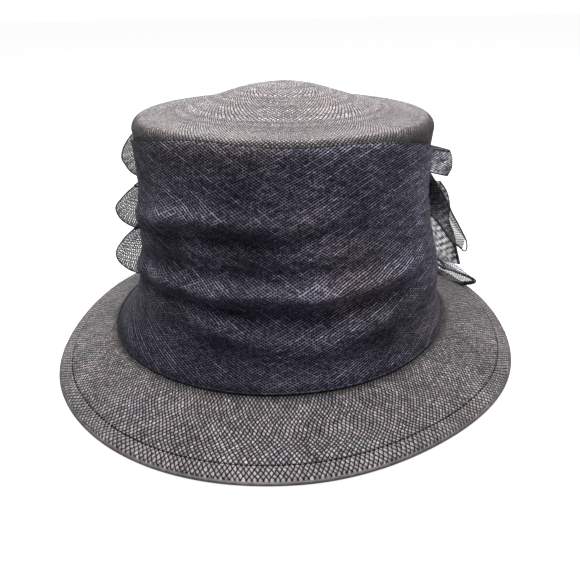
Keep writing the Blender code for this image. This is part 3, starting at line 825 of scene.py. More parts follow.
def straw_material(finish, name, gap, contrast, rings=0.0):
    """Plaited straw: tones by straw, small stains, dark gaps, a raised plait and painted shade."""
    material, tree, shader = new_material(name)
    if tree is None:
        return material
    strands = wire(tree, "ShaderNodeUVMap", uv_map="strands")
    place = wire(tree, "ShaderNodeTexCoord")
    stray = wire(tree, "ShaderNodeTexNoise",
                 {"Vector": place.outputs["Object"], "Scale": 380.0, "Detail": 2.0, "Roughness": 0.6})
    shift = wire(tree, "ShaderNodeVectorMath",
                 {0: stray.outputs["Color"], 1: (0.7, 0.7, 0.0), 2: strands.outputs[0]},
                 operation="MULTIPLY_ADD")
    plait = wire(tree, "ShaderNodeGroup", node_tree=plait_group())
    tree.links.new(shift.outputs[0], plait.inputs["Strands"])
    plait.inputs["Gap"].default_value = gap
    mottle = noise_over(tree, place, 38.0, 4.0, 0.6)
    tint = noise_over(tree, place, 90.0, 2.0)
    cool = (finish.straw[0] * 0.96, finish.straw[1] * 1.01, finish.straw[2] * 1.04, 1.0)
    warm = (finish.straw[0] * 1.04, finish.straw[1] * 0.99, finish.straw[2] * 0.97, 1.0)
    colour = blend_colour(tree, ranged(tree, tint, 0.35, 0.65), cool, warm)
    level = wire(tree, "ShaderNodeSeparateXYZ", {0: place.outputs["Object"]}).outputs[2]
    colour = blend_colour(tree, ranged(tree, level, 0.10, 0.14, 0.0, 0.6), colour, (1.0, 0.90, 0.90, 1.0),
                          "MULTIPLY")
    tone = maths(tree, "MULTIPLY_ADD", plait.outputs["Tone"], 0.50 * contrast, 1 - 0.25 * contrast)
    cell = maths(tree, "MULTIPLY_ADD", plait.outputs["Cell"], 0.90 * contrast, 1 - 0.45 * contrast)
    light = maths(tree, "MULTIPLY", tone, cell)
    light = maths(tree, "MULTIPLY", light, ranged(tree, mottle, 0.3, 0.7, 0.80, 1.16))
    # Painted shade: the straw is darker low down, on the brim and the crown's lower side, than on the tip,
    # which the light strikes more.
    light = maths(tree, "MULTIPLY", light, ranged(tree, level, 0.03, 0.10, 0.81, 0.92))
    ring = maths(tree, "MULTIPLY_ADD", plait.outputs["Ring"], 2 * rings, 1 - rings)
    light = maths(tree, "MULTIPLY", light, ring)
    # Painted shade: where the mark named shade is 1, the straw's colour is darkened to about a quarter, as
    # in shadow.
    shade = wire(tree, "ShaderNodeAttribute", attribute_name="shade")
    light = maths(tree, "MULTIPLY", light, ranged(tree, shade.outputs["Fac"], 0.0, 1.0, 1.0, 0.26))
    shaded = wire(tree, "ShaderNodeVectorMath", {0: colour}, operation="SCALE")
    tree.links.new(light, shaded.inputs["Scale"])
    if not gap:
        light = maths(tree, "MULTIPLY", light, 0.32)
        tree.links.new(light, shaded.inputs["Scale"])
    final = shaded.outputs[0]
    if gap:
        final = blend_colour(tree, plait.outputs["Straw"], (*finish.straw_gap, 1.0), final)
    tree.links.new(final, shader.inputs["Base Color"])
    rough = ranged(tree, plait.outputs["Tone"], 0.0, 1.0, 0.42, 0.62)
    tree.links.new(rough, shader.inputs["Roughness"])
    bump = wire(tree, "ShaderNodeBump",
                {"Height": plait.outputs["Height"], "Strength": 1.0 if gap else 0.1, "Distance": 0.0007})
    tree.links.new(bump.outputs[0], shader.inputs["Normal"])
    shader.inputs["Specular IOR Level"].default_value = 0.45
    return material


def sinamay_material(finish, name, ground_kind, width=0.33, bright=1.0, neutral=False):
    """Open-weave sinamay: threads over a dark ground, or over nothing where it is open.

    ground_kind is "open" for threads alone and "closed" for threads on a dark ground. With
    "marked" the mark named ground says how closed the layers beneath are, and the mark
    named shade gives painted light and shade: painted highlights on the lit lips of the
    folds, and darker, bluer painted shade in the pockets below them.
    """
    material, tree, shader = new_material(name)
    if tree is None:
        return material
    threads = wire(tree, "ShaderNodeUVMap", uv_map="strands")
    weave = wire(tree, "ShaderNodeGroup", node_tree=open_weave_group())
    tree.links.new(threads.outputs[0], weave.inputs["Threads"])
    weave.inputs["Width"].default_value = width
    under = wire(tree, "ShaderNodeGroup", node_tree=open_weave_group())
    turned = wire(tree, "ShaderNodeMapping",
                  {"Vector": threads.outputs[0], "Rotation": (0.0, 0.0, 0.33), "Scale": (1.07, 1.07, 1.0)})
    tree.links.new(turned.outputs[0], under.inputs["Threads"])
    under.inputs["Width"].default_value = width
    place = wire(tree, "ShaderNodeTexCoord")
    sides = wire(tree, "ShaderNodeSeparateXYZ", {0: place.outputs["Object"]})
    # Painted highlight: the first thread family is brightened on the left and the second on the right, as
    # if each caught the light there.
    to_right = ranged(tree, sides.outputs[0], -0.035, 0.045)
    first_highlight = ranged(tree, to_right, 0.0, 1.0, 1.02, 0.66)
    first = maths(tree, "MULTIPLY", weave.outputs["First"], first_highlight)
    second_highlight = ranged(tree, to_right, 0.0, 1.0, 0.55, 1.55)
    second = maths(tree, "MULTIPLY", weave.outputs["Second"], second_highlight)
    light = maths(tree, "MAXIMUM", first, second)
    # Painted highlight: threads on the far right are brightened, most at mid height, as if seen against
    # the light at a grazing angle.
    far_right = ranged(tree, sides.outputs[0], 0.035, 0.075)
    gain = maths(tree, "MULTIPLY", far_right, ranged(tree, sides.outputs[2], 0.05, 0.12, 0.10, 0.75))
    light = maths(tree, "MULTIPLY", light, maths(tree, "ADD", gain, 1.0))
    patch = noise_over(tree, place, 30.0, 3.0)
    light = maths(tree, "MULTIPLY", light, ranged(tree, patch, 0.3, 0.7, 0.6, 1.3))
    speck = noise_over(tree, place, 750.0, 1.0)
    light = maths(tree, "MULTIPLY", light, ranged(tree, speck, 0.34, 0.66, 0.45, 1.60))
    light = maths(tree, "MULTIPLY", light, bright)
    red, green, blue = finish.thread
    thread = (red, green, green * 1.03 if neutral else blue, 1.0)
    brown = (red * 1.14, green * 0.98, blue * 0.82, 1.0)
    wide = noise_over(tree, place, 14.0, 1.0)
    tinted = blend_colour(tree, ranged(tree, wide, 0.56, 0.78), thread, brown)
    lit = wire(tree, "ShaderNodeVectorMath", {0: tinted}, operation="SCALE")
    tree.links.new(light, lit.inputs["Scale"])
    below = maths(tree, "MAXIMUM", under.outputs["First"], under.outputs["Second"])
    ground = blend_colour(tree, maths(tree, "MULTIPLY", below, 0.07), (*finish.ground, 1.0), thread)
    colour = blend_colour(tree, weave.outputs["Cover"], ground, lit.outputs[0])
    if ground_kind == "marked":
        # Painted light and shade: the colour is brightened up to 1.6 times where shade is -1, and darkened
        # and turned blue where it is 1.
        shade = wire(tree, "ShaderNodeAttribute", attribute_name="shade")
        depth = ranged(tree, shade.outputs["Fac"], -1.0, 1.0, smooth=False)
        dim = blend_colour(tree, depth, (1.60, 1.58, 1.62, 1.0), (0.345, 0.335, 0.470, 1.0))
        dimmed = wire(tree, "ShaderNodeVectorMath", {0: colour, 1: dim}, operation="MULTIPLY")
        colour = dimmed.outputs[0]
        closed = wire(tree, "ShaderNodeAttribute", attribute_name="ground")
        alpha = maths(tree, "MAXIMUM", weave.outputs["Cover"], closed.outputs["Fac"])
        tree.links.new(alpha, shader.inputs["Alpha"])
    elif ground_kind == "open":
        colour = lit.outputs[0]
        tree.links.new(weave.outputs["Cover"], shader.inputs["Alpha"])
    tree.links.new(colour, shader.inputs["Base Color"])
    bump = wire(tree, "ShaderNodeBump",
                {"Height": weave.outputs["Height"], "Strength": 0.5, "Distance": 0.0004})
    tree.links.new(bump.outputs[0], shader.inputs["Normal"])
    shader.inputs["Roughness"].default_value = 0.8
    shader.inputs["Specular IOR Level"].default_value = 0.10
    shader.inputs["Sheen Weight"].default_value = 0.06
    shader.inputs["Sheen Roughness"].default_value = 0.4
    return material


def crown_rings(size, inset):
    """Rings of the crown's face from the mouth up: side, shoulder arc and bell dome.

    Returns points, and for each ring its plan radius and its length along the section.
    """
    around = np.arange(ROUND_COLUMNS) * 360.0 / ROUND_COLUMNS
    right, front = heading(around)
    rings = [crown_point(size, around, height, inset)
             for height in np.linspace(0.0, size.crown_side_height, 40)]
    radius = SHOULDER_RADIUS - inset
    wide, deep = size.crown_half_width - SHOULDER_RADIUS, size.crown_half_depth - SHOULDER_RADIUS
    top = size.root_height + size.crown_side_height
    lean = TIP_LEAN_RIGHT * right
    for turn in np.linspace(0.0, np.pi / 2, 10)[1:]:
        x = (wide + radius * np.cos(turn)) * right
        y = (deep + radius * np.cos(turn)) * front
        rings.append(np.stack([x, y, top + radius * np.sin(turn) - lean], axis=-1))
    shares = np.concatenate([np.linspace(1.0, 0.12, 44)[1:], np.linspace(0.12, 0.0, 8)[1:]])
    for share in shares:
        x = wide * share * right
        y = deep * share * front + DOME_SHIFT_BACK * (1 - share)
        rise = size.dome_rise * 0.5 * (1 + np.cos(np.pi * share))
        rings.append(np.stack([x, y, top + radius + rise - lean * share + 0 * x], axis=-1))
    rings = np.stack(rings)
    plan_radius = np.hypot(rings[..., 0] - rings[..., 0].mean(axis=1, keepdims=True),
                           rings[..., 1] - rings[..., 1].mean(axis=1, keepdims=True)).mean(axis=1)
    steps = np.linalg.norm(np.diff(rings, axis=0), axis=2).mean(axis=1)
    return rings, plan_radius, np.concatenate([[0.0], np.cumsum(steps)])


def crown_uv(size, plan_radius, length):
    """Strand places on the crown: a spiral plait that adds strands at each plait ring.

    a counts strands round the head and b grows with the section's length over the radius,
    so a + b and a - b run at half a right angle everywhere.
    """
    turn = np.linspace(0.0, 1.0, ROUND_COLUMNS + 1)
    full = 2 * round(np.pi * size.crown_half_width / (size.strand_width * np.sqrt(2)))
    ring_count = len(PLAIT_RINGS)
    uv = np.zeros((len(length) - 1, 2, ROUND_COLUMNS + 1, 2))
    b = 0.0
    for i in range(len(length) - 1):
        radius = max((plan_radius[i] + plan_radius[i + 1]) / 2, 0.003)
        ring = sum(radius >= start for start in PLAIT_RINGS)
        strands = full // 2 ** (ring_count - ring)
        step = (length[i + 1] - length[i]) * strands / (2 * np.pi * radius)
        for side, place in enumerate((b, b + step)):
            uv[i, side, :, 0] = turn * strands + place
            uv[i, side, :, 1] = turn * strands - place
        b += step
    return uv


def build_crown(size, finish):
    """The straw crown: outer face, mouth edge and inner face in one shell."""
    outer, plan_radius, length = crown_rings(size, 0.0)
    inner, _radius, _length = crown_rings(size, STRAW_WALL)
    from_crease = (plan_radius[-DOME_RINGS:] - PLAIT_RINGS[3]) / CROWN_CREASE_WIDTH
    outer[-DOME_RINGS:, :, 2] += (CROWN_CREASE_RISE * np.exp(-from_crease ** 2))[:, None]
    x, y = outer[..., 0], outer[..., 1]
    uneven = CROWN_UNEVENNESS * ripple(x / 0.055, y / 0.055 + outer[..., 2] / 0.07, 11)
    fade = smooth_step(np.arange(len(outer) - SHOULDER_RING), 0, 12)[:, None]
    outer[SHOULDER_RING:, :, 2] += uneven[SHOULDER_RING:] * fade
    points = np.concatenate([inner[::-1], outer])
    uv = crown_uv(size, plan_radius, length)
    inner_uv = uv[::-1, ::-1]
    seam = np.stack([uv[0, 0], uv[0, 0]])[None]
    straw = straw_material(finish, "straw_crown", 0.85, 1.0, rings=0.27)
    # Painted shade: the crown's outer side is darkened up to the shoulder and fades out over its arc, as
    # if in shadow; the inner face gets none.
    level = np.arange(len(outer))[:, None] + 0 * outer[..., 0]
    shade = np.concatenate([0 * level, 1 - smooth_step(level, 41.0, 49.0)])
    mesh = grid_piece("crown_straw", points, np.concatenate([inner_uv, seam, uv]), [straw],
                      close_columns=True, marks={"shade": shade})
    close_poles(mesh)
    add_piece("crown_straw", outward(mesh), "crown")


def build_brim(size, finish):
    """The straw brim: collar, slope, hem groove, folded hem, rolled lip and underside."""
    around = np.arange(ROUND_COLUMNS) * 360.0 / ROUND_COLUMNS
    width = brim_width(size, around)
    lift = rim_lift(around)
    hem = size.hem_width / width
    collar_gap = STRAW_WALL + CLEARANCE
    rows, kinds = [], []

    def add(points, kind):
        rows.append(points)
        kinds.append(kind)

    for height in (COLLAR_HEIGHT, COLLAR_HEIGHT / 2, -CLEARANCE):
        add(crown_point(size, around, height, collar_gap), 0)
    for share in np.linspace(0.0, 1.0, 56):
        add(brim_point(size, around, (1 - hem) * share), 0)
    for step in np.linspace(-GROOVE_HALF, GROOVE_HALF, 9)[1:]:
        dip = GROOVE_DEPTH * np.cos(step / GROOVE_HALF * np.pi / 2) ** 2
        rise = HEM_RAISE * smooth_step(step, 0.0, GROOVE_HALF)
        add(brim_point(size, around, 1 - hem + step / width, dip - rise), 1)
    inner_land = 1 - HEM_LAND / width
    for share in np.linspace(0.0, 1.0, 12)[1:]:
        start = 1 - hem + GROOVE_HALF / width
        add(brim_point(size, around, start + (inner_land - start) * share, -HEM_RAISE), 1)
    turns = np.linspace(-0.15 * np.pi, 1.15 * np.pi, 15)
    for turn in turns:
        middle = brim_point(size, around, 1 - LIP_RADIUS / width)
        middle[:, 2] = LIP_RADIUS + lift
        outward_x, outward_y = heading(around)
        reach = LIP_RADIUS * np.sin(turn)
        x = middle[:, 0] + reach * outward_x
        y = middle[:, 1] + reach * outward_y
        add(np.stack([x, y, middle[:, 2] + LIP_RADIUS * np.cos(turn)], axis=-1), 2)
    for share in np.linspace(1.0, 0.0, 30):
        start = 1 - UNDERSIDE_START / width
        add(brim_point(size, around, start * share, STRAW_WALL), 0)
    inner_gap = collar_gap + STRAW_WALL
    add(crown_point(size, around, -CLEARANCE - STRAW_WALL, inner_gap), 0)
    add(crown_point(size, around, COLLAR_HEIGHT, inner_gap), 0)
    points = np.stack(rows)
    closed = np.concatenate([points, points[:, :1]], axis=1)
    x, y = closed[..., 0], closed[..., 1]
    turn = np.linspace(0.0, 1.0, ROUND_COLUMNS + 1)
    reach = np.hypot(x, y).mean(axis=1, keepdims=True)
    middle = (size.brim_half_width + size.crown_half_width) / 2
    pitch = BRIM_PLAIT_SPREAD * size.strand_width
    strands = round(2 * np.pi * middle * np.sin(BRIM_PLAIT_ANGLE) / pitch)
    around_once, outward_once = 3 * np.cos(2 * np.pi * turn), reach / 0.02
    turned = strands * turn[None] + BRIM_PLAIT_SWAY * ripple(around_once, outward_once, 21)
    outwards = np.cos(BRIM_PLAIT_ANGLE) / pitch * (reach - middle)
    outwards = outwards + BRIM_PLAIT_SWAY * ripple(around_once, outward_once, 22)
    places = np.stack([turned + outwards, turned - outwards], axis=-1)
    uv = np.stack([places, np.roll(places, -1, axis=0)], axis=1)
    kinds = np.array(kinds)
    next_kind = np.roll(kinds, -1)
    straw = straw_material(finish, "straw_plait", 0.85, 1.0)
    binding = straw_material(finish, "straw_lip", 0.0, 0.5)
    hem_straw = straw_material(finish, "straw_hem", 0.78, 0.6)
    slots = np.where((kinds == 2) & (next_kind == 2), 1, np.where(next_kind == 1, 2, 0))
    # Painted shadow: the brim is darkened under the swathe and along its foot, fading out about 6 mm
    # beyond it.
    flare = DRAPE_FLARE * round_the_head(around, 3)
    root = crown_point(size, around, 0.0)
    from_foot = np.hypot(points[..., 0] - root[:, 0], points[..., 1] - root[:, 1]) - flare
    shade = 1 - smooth_step(from_foot, -0.001, 0.0060)
    mesh = grid_piece("brim_straw", points, uv, [straw, binding, hem_straw], close_rows=True,
                      close_columns=True, slots=slots, marks={"shade": shade})
    add_piece("brim_straw", outward(mesh), "brim")


def rolled_edge(size, finish, name, path, radius, closed=False):
    """A tight dark roll of sinamay along an edge, as a piece of its own."""
    cloth = sinamay_material(finish, "sinamay_edge", "closed", width=0.6, bright=0.4, neutral=True)
    mesh = tube_mesh(name, path, radius, cloth, size.thread_pitch, closed=closed)
    return add_piece(name, outward(mesh), None)


def build_drape(size, finish):
    """The folded swathe: one sheet of sinamay round the crown, with rolled edges."""
    around = np.linspace(-180.0, 180.0, DRAPE_COLUMNS)
    shares = np.linspace(0.0, 1.0, DRAPE_ROWS)[:, None]
    points = drape_point(size, around, shares, DRAPE_CRUMPLE)
    points[:, -1] = points[:, 0]
    steps = np.linalg.norm(np.diff(points, axis=0), axis=2)
    up = np.concatenate([np.zeros((1, DRAPE_COLUMNS)), np.cumsum(steps, axis=0)])
    up = DRAPE_OWN_LENGTH * up + (1 - DRAPE_OWN_LENGTH) * up.mean(axis=1, keepdims=True)
    slack = np.radians(around) * DRAPE_SLACK[0] + np.sin(2 * np.radians(around)) * DRAPE_SLACK[1]
    length = slack[None] * size.crown_half_width + 0 * up
    warp = DRAPE_WARP * ripple(length / 0.09, up / 0.07, 31)
    left, right = DRAPE_THREAD_ANGLES
    first = ((length + warp) * np.sin(left) + up * np.cos(left)) / size.thread_pitch
    second = ((length + warp) * np.sin(right) - (up + warp) * np.cos(right)) / size.thread_pitch
    uv = paired(np.stack([first, second], axis=-1))
    height = np.clip(points[..., 2] - size.root_height, 0.0, None)
    # Painted light and shade on the swathe: lit lips and dark pockets of the folds, uneven patches, a
    # painted shadow along the foot and a lighter band along the top edge.
    _out, _down, shade = folds(size, around[None], height)
    shade = shade + 0.25 + 0.25 * ripple(length / 0.03, up / 0.014, 61)
    shade = shade + 0.8 * (1 - smooth_step(up, 0.0008, 0.0050)) - 0.5 * smooth_step(shares, 0.93, 0.98)
    shade = np.clip(shade, -1.0, 1.0)
    above_edge = up / DRAPE_OPEN_FOOT
    side = np.abs(np.sin(np.radians(around)))[None] ** 1.5
    ground = 1 - DRAPE_OPENNESS * side * (1 - smooth_step(above_edge, 0.25, 1.0))
    sinamay = sinamay_material(finish, "sinamay_folds", "marked")
    mesh = grid_piece("drape_sinamay", points, uv, [sinamay], marks={"shade": shade, "ground": ground})
    piece = add_piece("drape_sinamay", mesh, "drape")
    edges = (("drape_top_roll", -1, DRAPE_TOP_ROLL), ("drape_foot_roll", 0, DRAPE_FOOT_ROLL))
    for name, row, radius in edges:
        path = points[row, :-1] + np.array([0.0, 0.0, radius if row == 0 else 0.0])
        rolled_edge(size, finish, name, path, radius, closed=True)


def plan_normal(points):
    """Unit normals, level with the floor, of a closed path of points."""
    along = np.roll(points, -1, axis=0) - np.roll(points, 1, axis=0)
    normal = np.stack([along[:, 1], -along[:, 0], 0 * along[:, 0]], axis=1)
    return normal / np.linalg.norm(normal, axis=1)[:, None]


def loop_surface(size, row, turn, across):
    """Points of a loop: along is half of 1 - cos(u), the sides part by sin(u), the whole
    bows away from the crown, and the corners at the tip are drawn in."""
    tip_x, tip_y, tip_z, root_share, width_share, fullness, corner = row[1:8]
    centre = knot_centre()
    side = np.sign(tip_x)
    tip = np.array([tip_x * size.brim_half_width, tip_y * size.brim_half_depth, 0.0])
    tip[2] = brim_height_under(size, tip[0], tip[1]) + tip_z * size.crown_side_height
    root_rise = root_share * KNOT_HALF_HEIGHT
    nearest = max(abs(root_rise) - LOOP_ROOT_WIDTH / 2, 0.0)
    reach = KNOT_HALF_WIDTH * knot_share(nearest) + CLEARANCE + SINAMAY_WALL / 2
    root = centre + np.array([side * reach, 0.0, root_rise])
    along = 0.5 * (1 - np.cos(turn))
    axis = tip - root
    sideways = np.array([axis[1], -axis[0], 0.0]) / np.hypot(axis[0], axis[1])
    opening = LOOP_ROOT_SHARE + (1 - LOOP_ROOT_SHARE) * along
    spread = LOOP_HALF_GAP * fullness * np.sin(turn) * opening
    spread = spread - side * LOOP_BOW * 4 * along * (1 - along)
    middle = root + axis * along[:, None] + sideways * spread[:, None]
    widening = width_share * size.crown_side_height - LOOP_ROOT_WIDTH
    half_width = 0.5 * (LOOP_ROOT_WIDTH + widening * along ** LOOP_WIDENING)
    flat_axis = axis * np.array([1.0, 1.0, 0.0])
    place = across[None, :, None]
    points = middle[:, None] - flat_axis * (corner * place ** 2 * (along ** 2)[:, None, None])
    lift = np.array([0.0, 0.0, 1.0]) * half_width[:, None, None] * place
    down, over = along[:, None] + 0 * place[..., 0], place[..., 0] + 0 * along[:, None]
    pucker = LOOP_PUCKER * ripple(4 * down, 1.5 * over, int(100 * abs(tip_x)))
    normal = plan_normal(middle)[:, None]
    return points + lift + normal * pucker[..., None] * np.sin(turn / 2)[:, None, None] ** 2


def ribbon_uv(points, pitch, angle):
    """Thread places on a ribbon: its length and width turned by an angle."""
    steps = np.linalg.norm(np.diff(points, axis=0), axis=2).mean(axis=1)
    length = np.concatenate([[0.0], np.cumsum(steps)])[:, None]
    width = np.linalg.norm(np.diff(points, axis=1), axis=2)
    width = np.concatenate([np.zeros((len(points), 1)), np.cumsum(width, axis=1)], axis=1)
    width = width - width[:, -1:] / 2
    first = (length * np.cos(angle) + width * np.sin(angle)) / pitch
    second = (length * np.sin(angle) - width * np.cos(angle)) / pitch
    return paired(np.stack([first, second], axis=-1))


def build_loops(size, finish):
    """The standing loops: see-through ribbons, rolled along both edges and round the tip."""
    open_cloth = sinamay_material(finish, "sinamay_open", "open", width=0.26)
    cloths = {
        "loop_right_upper": sinamay_material(finish, "sinamay_tab", "marked", width=0.36, bright=3.0,
                                             neutral=True),
        "loop_right_lower": sinamay_material(finish, "sinamay_sheer", "open", width=0.15, bright=1.2),
    }
    across = np.linspace(-1.0, 1.0, RIBBON_ROWS)
    turn = np.linspace(0.0, 2 * np.pi, RIBBON_STEPS)
    for row in LOOPS:
        name, (roll, lower, tip_low, tip_high, mesh_share) = row[0], row[8:]
        points = loop_surface(size, row, turn, across)
        points[-1] = points[0]
        uv = ribbon_uv(points, mesh_share * size.thread_pitch, LOOP_THREAD_ANGLE)
        grain = ripple(points[..., 0] / 0.004, points[..., 2] / 0.004, 79)
        marks = {"ground": 0.45 + 0 * grain, "shade": 0.9 * grain}
        mesh = grid_piece(name + "_cloth", points, uv, [cloths.get(name, open_cloth)], marks=marks)
        piece = add_piece(name + "_cloth", mesh, name, thickness=RIBBON_WALL)
        tip_radius = roll * np.linspace(tip_low, tip_high, RIBBON_ROWS)
        rolls = [
            rolled_edge(size, finish, name + "_upper_roll", points[:-1, -1], roll, closed=True),
            rolled_edge(size, finish, name + "_lower_roll", points[:-1, 0], roll * lower, closed=True),
            rolled_edge(size, finish, name + "_tip_roll", points[RIBBON_STEPS // 2], tip_radius),
        ]


def build_flap(size, finish):
    """The long flap: a hanging strip, rolled at both edges, with a small curl at its end."""
    table = np.array(FLAP_SECTIONS)
    centre = knot_centre()
    known = np.linspace(0.0, 1.0, len(table))
    share = np.linspace(0.0, 1.0, RIBBON_STEPS)
    x = size.brim_half_width * curve_through(share, known, table[:, 0])
    y = size.brim_half_depth * curve_through(share, known, table[:, 1])
    x = x + (centre[0] + KNOT_HALF_WIDTH + CLEARANCE - x[0]) * (1 - share) ** FLAP_ROOT_POWER
    y = y + (centre[1] - y[0]) * (1 - share) ** FLAP_ROOT_POWER
    brim = brim_height_under(size, x, y)
    top = brim + size.crown_side_height * curve_through(share, known, table[:, 2])
    bottom = brim + size.crown_side_height * curve_through(share, known, table[:, 3])
    middle = np.stack([x, y, (top + bottom) / 2], axis=1)
    along = np.gradient(middle, axis=0)
    normal = np.stack([along[:, 1], -along[:, 0], 0 * x], axis=1)
    normal = normal / np.linalg.norm(normal, axis=1)[:, None]
    across = np.linspace(-1.0, 1.0, RIBBON_ROWS)[None, :, None]
    points = middle[:, None] + normal[:, None] * (FLAP_CURL * share)[:, None, None] * across ** 2
    points = points + np.array([0.0, 0.0, 1.0]) * ((top - bottom) / 2)[:, None, None] * across
    cloth = sinamay_material(finish, "sinamay_lining", "marked", width=0.36, bright=0.9, neutral=True)
    uv = ribbon_uv(points, FLAP_MESH * size.thread_pitch, FLAP_THREAD_ANGLE)
    closed = FLAP_CLOSED * (1 - smooth_step(share, 0.55, 0.80))[:, None] + 0 * points[..., 0]
    marks = {"ground": closed, "shade": 0.7 * closed}
    mesh = grid_piece("flap_right_cloth", points, uv, [cloth], marks=marks)
    piece = add_piece("flap_right_cloth", mesh, "flap_right", thickness=RIBBON_WALL)
    turn = np.linspace(np.pi / 2, -np.pi / 2, 13)[1:-1, None]
    end, tall = middle[-1], (top - bottom)[-1] / 2
    onward = along[-1] / np.linalg.norm(along[-1])
    rounded = onward * np.cos(turn) * 0.9 + np.array([0.0, 0.0, 1.0]) * np.sin(turn)
    curl = end + normal[-1] * FLAP_CURL + tall * rounded
    outline = np.concatenate([points[:, -1], curl, points[::-1, 0]])
    along_outline = np.linspace(0.0, 1.0, len(outline))
    thick = FLAP_UPPER_ROLL + FLAP_ROLL_GROWTH * smooth_step(along_outline, 0.5, 0.6)
    rolls = [rolled_edge(size, finish, "flap_roll", outline, thick)]


def build_lining(size, finish):
    """The inner fold of the flap: a denser sheet that hangs beside the swathe."""
    table = np.array(LINING_SECTIONS)
    known = np.linspace(0.0, 1.0, len(table))
    share = np.linspace(0.0, 1.0, LINING_STEPS)[:, None]
    across = np.linspace(0.0, 1.0, LINING_ROWS)[None]
    inner = [curve_through(share, known, table[:, i]) for i in (0, 1)]
    x = inner[0] + (inner[1] - inner[0]) * across
    y = curve_through(share, known, table[:, 2]) + LINING_TURN_IN * (1 - across)
    y = y + LINING_WAVE * np.sin(np.pi * (2.0 * across + 1.2 * share))
    z = curve_through(share, known, table[:, 3]) + 0 * across
    points = np.stack([x, y, z], axis=-1)
    cloth = sinamay_material(finish, "sinamay_lining", "marked", width=0.36, bright=0.9, neutral=True)
    uv = ribbon_uv(points, FLAP_MESH * size.thread_pitch, FLAP_THREAD_ANGLE)
    ground = 0.95 - 0.32 * smooth_step(share, 0.30, 0.62) * (1 - smooth_step(across, 0.72, 0.95))
    ground = np.clip(ground + 1.1 * ripple(x / 0.0032, z / 0.0040, 77), 0.0, 1.0)
    shade = 0.3 + 0.5 * ripple(x / 0.005, z / 0.007, 78) - 0.8 * smooth_step(share, 0.35, 0.7)
    mesh = grid_piece("flap_lining_cloth", points, uv, [cloth],
                      marks={"ground": ground, "shade": np.clip(shade, -1.0, 1.0)})
    piece = add_piece("flap_lining_cloth", mesh, None)
    radius = LINING_UPPER_ROLL + LINING_ROLL_GROWTH * smooth_step(share[:, 0], 0.45, 0.7)
    roll = rolled_edge(size, finish, "flap_lining_roll", points[:, -1], radius)


def build_knot(size, finish):
    """The wrap that gathers everything: a square-cornered pad with pleats across it."""
    full_turn = np.linspace(0.0, 2 * np.pi, KNOT_COLUMNS + 1)
    turn = full_turn[:-1]
    rise = np.linspace(-np.pi / 2, np.pi / 2, KNOT_ROWS)
    turn, rise = np.meshgrid(turn, rise)

    def rounded(value):
        return np.sign(value) * np.abs(value) ** KNOT_SQUARENESS

    ring = rounded(np.cos(rise))
    pleat = 1 + KNOT_PLEAT * np.sin(9 * np.pi * np.sin(rise) + 0.8 * np.sin(2 * turn)) * np.cos(rise)
    x = KNOT_HALF_WIDTH * ring * rounded(np.cos(turn)) * pleat * 0.98
    y = KNOT_HALF_DEPTH * ring * rounded(np.sin(turn)) * pleat * 0.96
    z = KNOT_HALF_HEIGHT * rounded(np.sin(rise))
    points = np.stack([x, y, z], axis=-1) + knot_centre()
    wide = full_turn[None, :] * KNOT_HALF_WIDTH
    high = np.concatenate([z[:, :1]] * len(full_turn), axis=1)
    uv = np.stack([wide + high, wide - high], axis=-1) / (size.thread_pitch * np.sqrt(2))
    cloth = sinamay_material(finish, "sinamay_roll", "closed", width=0.6)
    mesh = grid_piece("knot_wrap", points, paired(uv), [cloth], close_columns=True)
    close_poles(mesh)
    add_piece("knot_wrap", outward(mesh), "knot")


def build_fibres(size, finish):
    """Stray straw ends on the tip and along the brim's edge, in one mesh."""
    rng = np.random.default_rng(8)
    rings, _radius, _length = crown_rings(size, 0.0)
    points, faces = [], []
    for i in range(STRAY_COUNT):
        direction = rng.uniform(-180.0, 180.0)
        if i % 2:
            start = brim_point(size, np.array([direction]), 1 - rng.uniform(0.002, 0.02))[0]
            away = np.array([*heading(direction), 0.1])
        else:
            ring = rings[rng.integers(44, 80)]
            start = ring[rng.integers(0, len(ring))]
            away = np.array([rng.normal(), rng.normal(), 1.0])
        away = away / np.linalg.norm(away)
        side = np.cross(away, [0.0, 0.0, 1.0]) + rng.normal(0.0, 0.3, 3)
        step = np.linspace(0.0, 1.0, 7)[:, None]
        long = rng.uniform(0.0012, 0.0040) * (1.0 if i % 2 else 0.6)
        bend = side * rng.uniform(-1.2, 1.2) * step ** 2
        path = start - STRAY_ROOT_DEPTH * away + long * (0.5 * away * step + bend)
        path[:, 2] = np.maximum(path[:, 2], 0.0003)
        ring_points = tube(path, STRAY_RADIUS, 5)
        rows, columns = ring_points.shape[:2]
        corner_rows, corner_columns = grid_faces(rows, columns, False, True)
        faces.append(corner_rows * columns + corner_columns % columns + sum(len(p) for p in points))
        points.append(ring_points.reshape(-1, 3))
    mesh = bpy.data.meshes.new("stray_straws")
    mesh.from_pydata(np.concatenate(points).tolist(), [], np.concatenate(faces).tolist())
    close_poles(mesh)
    material, tree, shader = new_material("stray_straw")
    if tree:
        shader.inputs["Base Color"].default_value = (*[0.45 * value for value in finish.straw], 1.0)
        shader.inputs["Roughness"].default_value = 0.6
    mesh.materials.append(material)
    add_piece("stray_straws", outward(mesh), None)


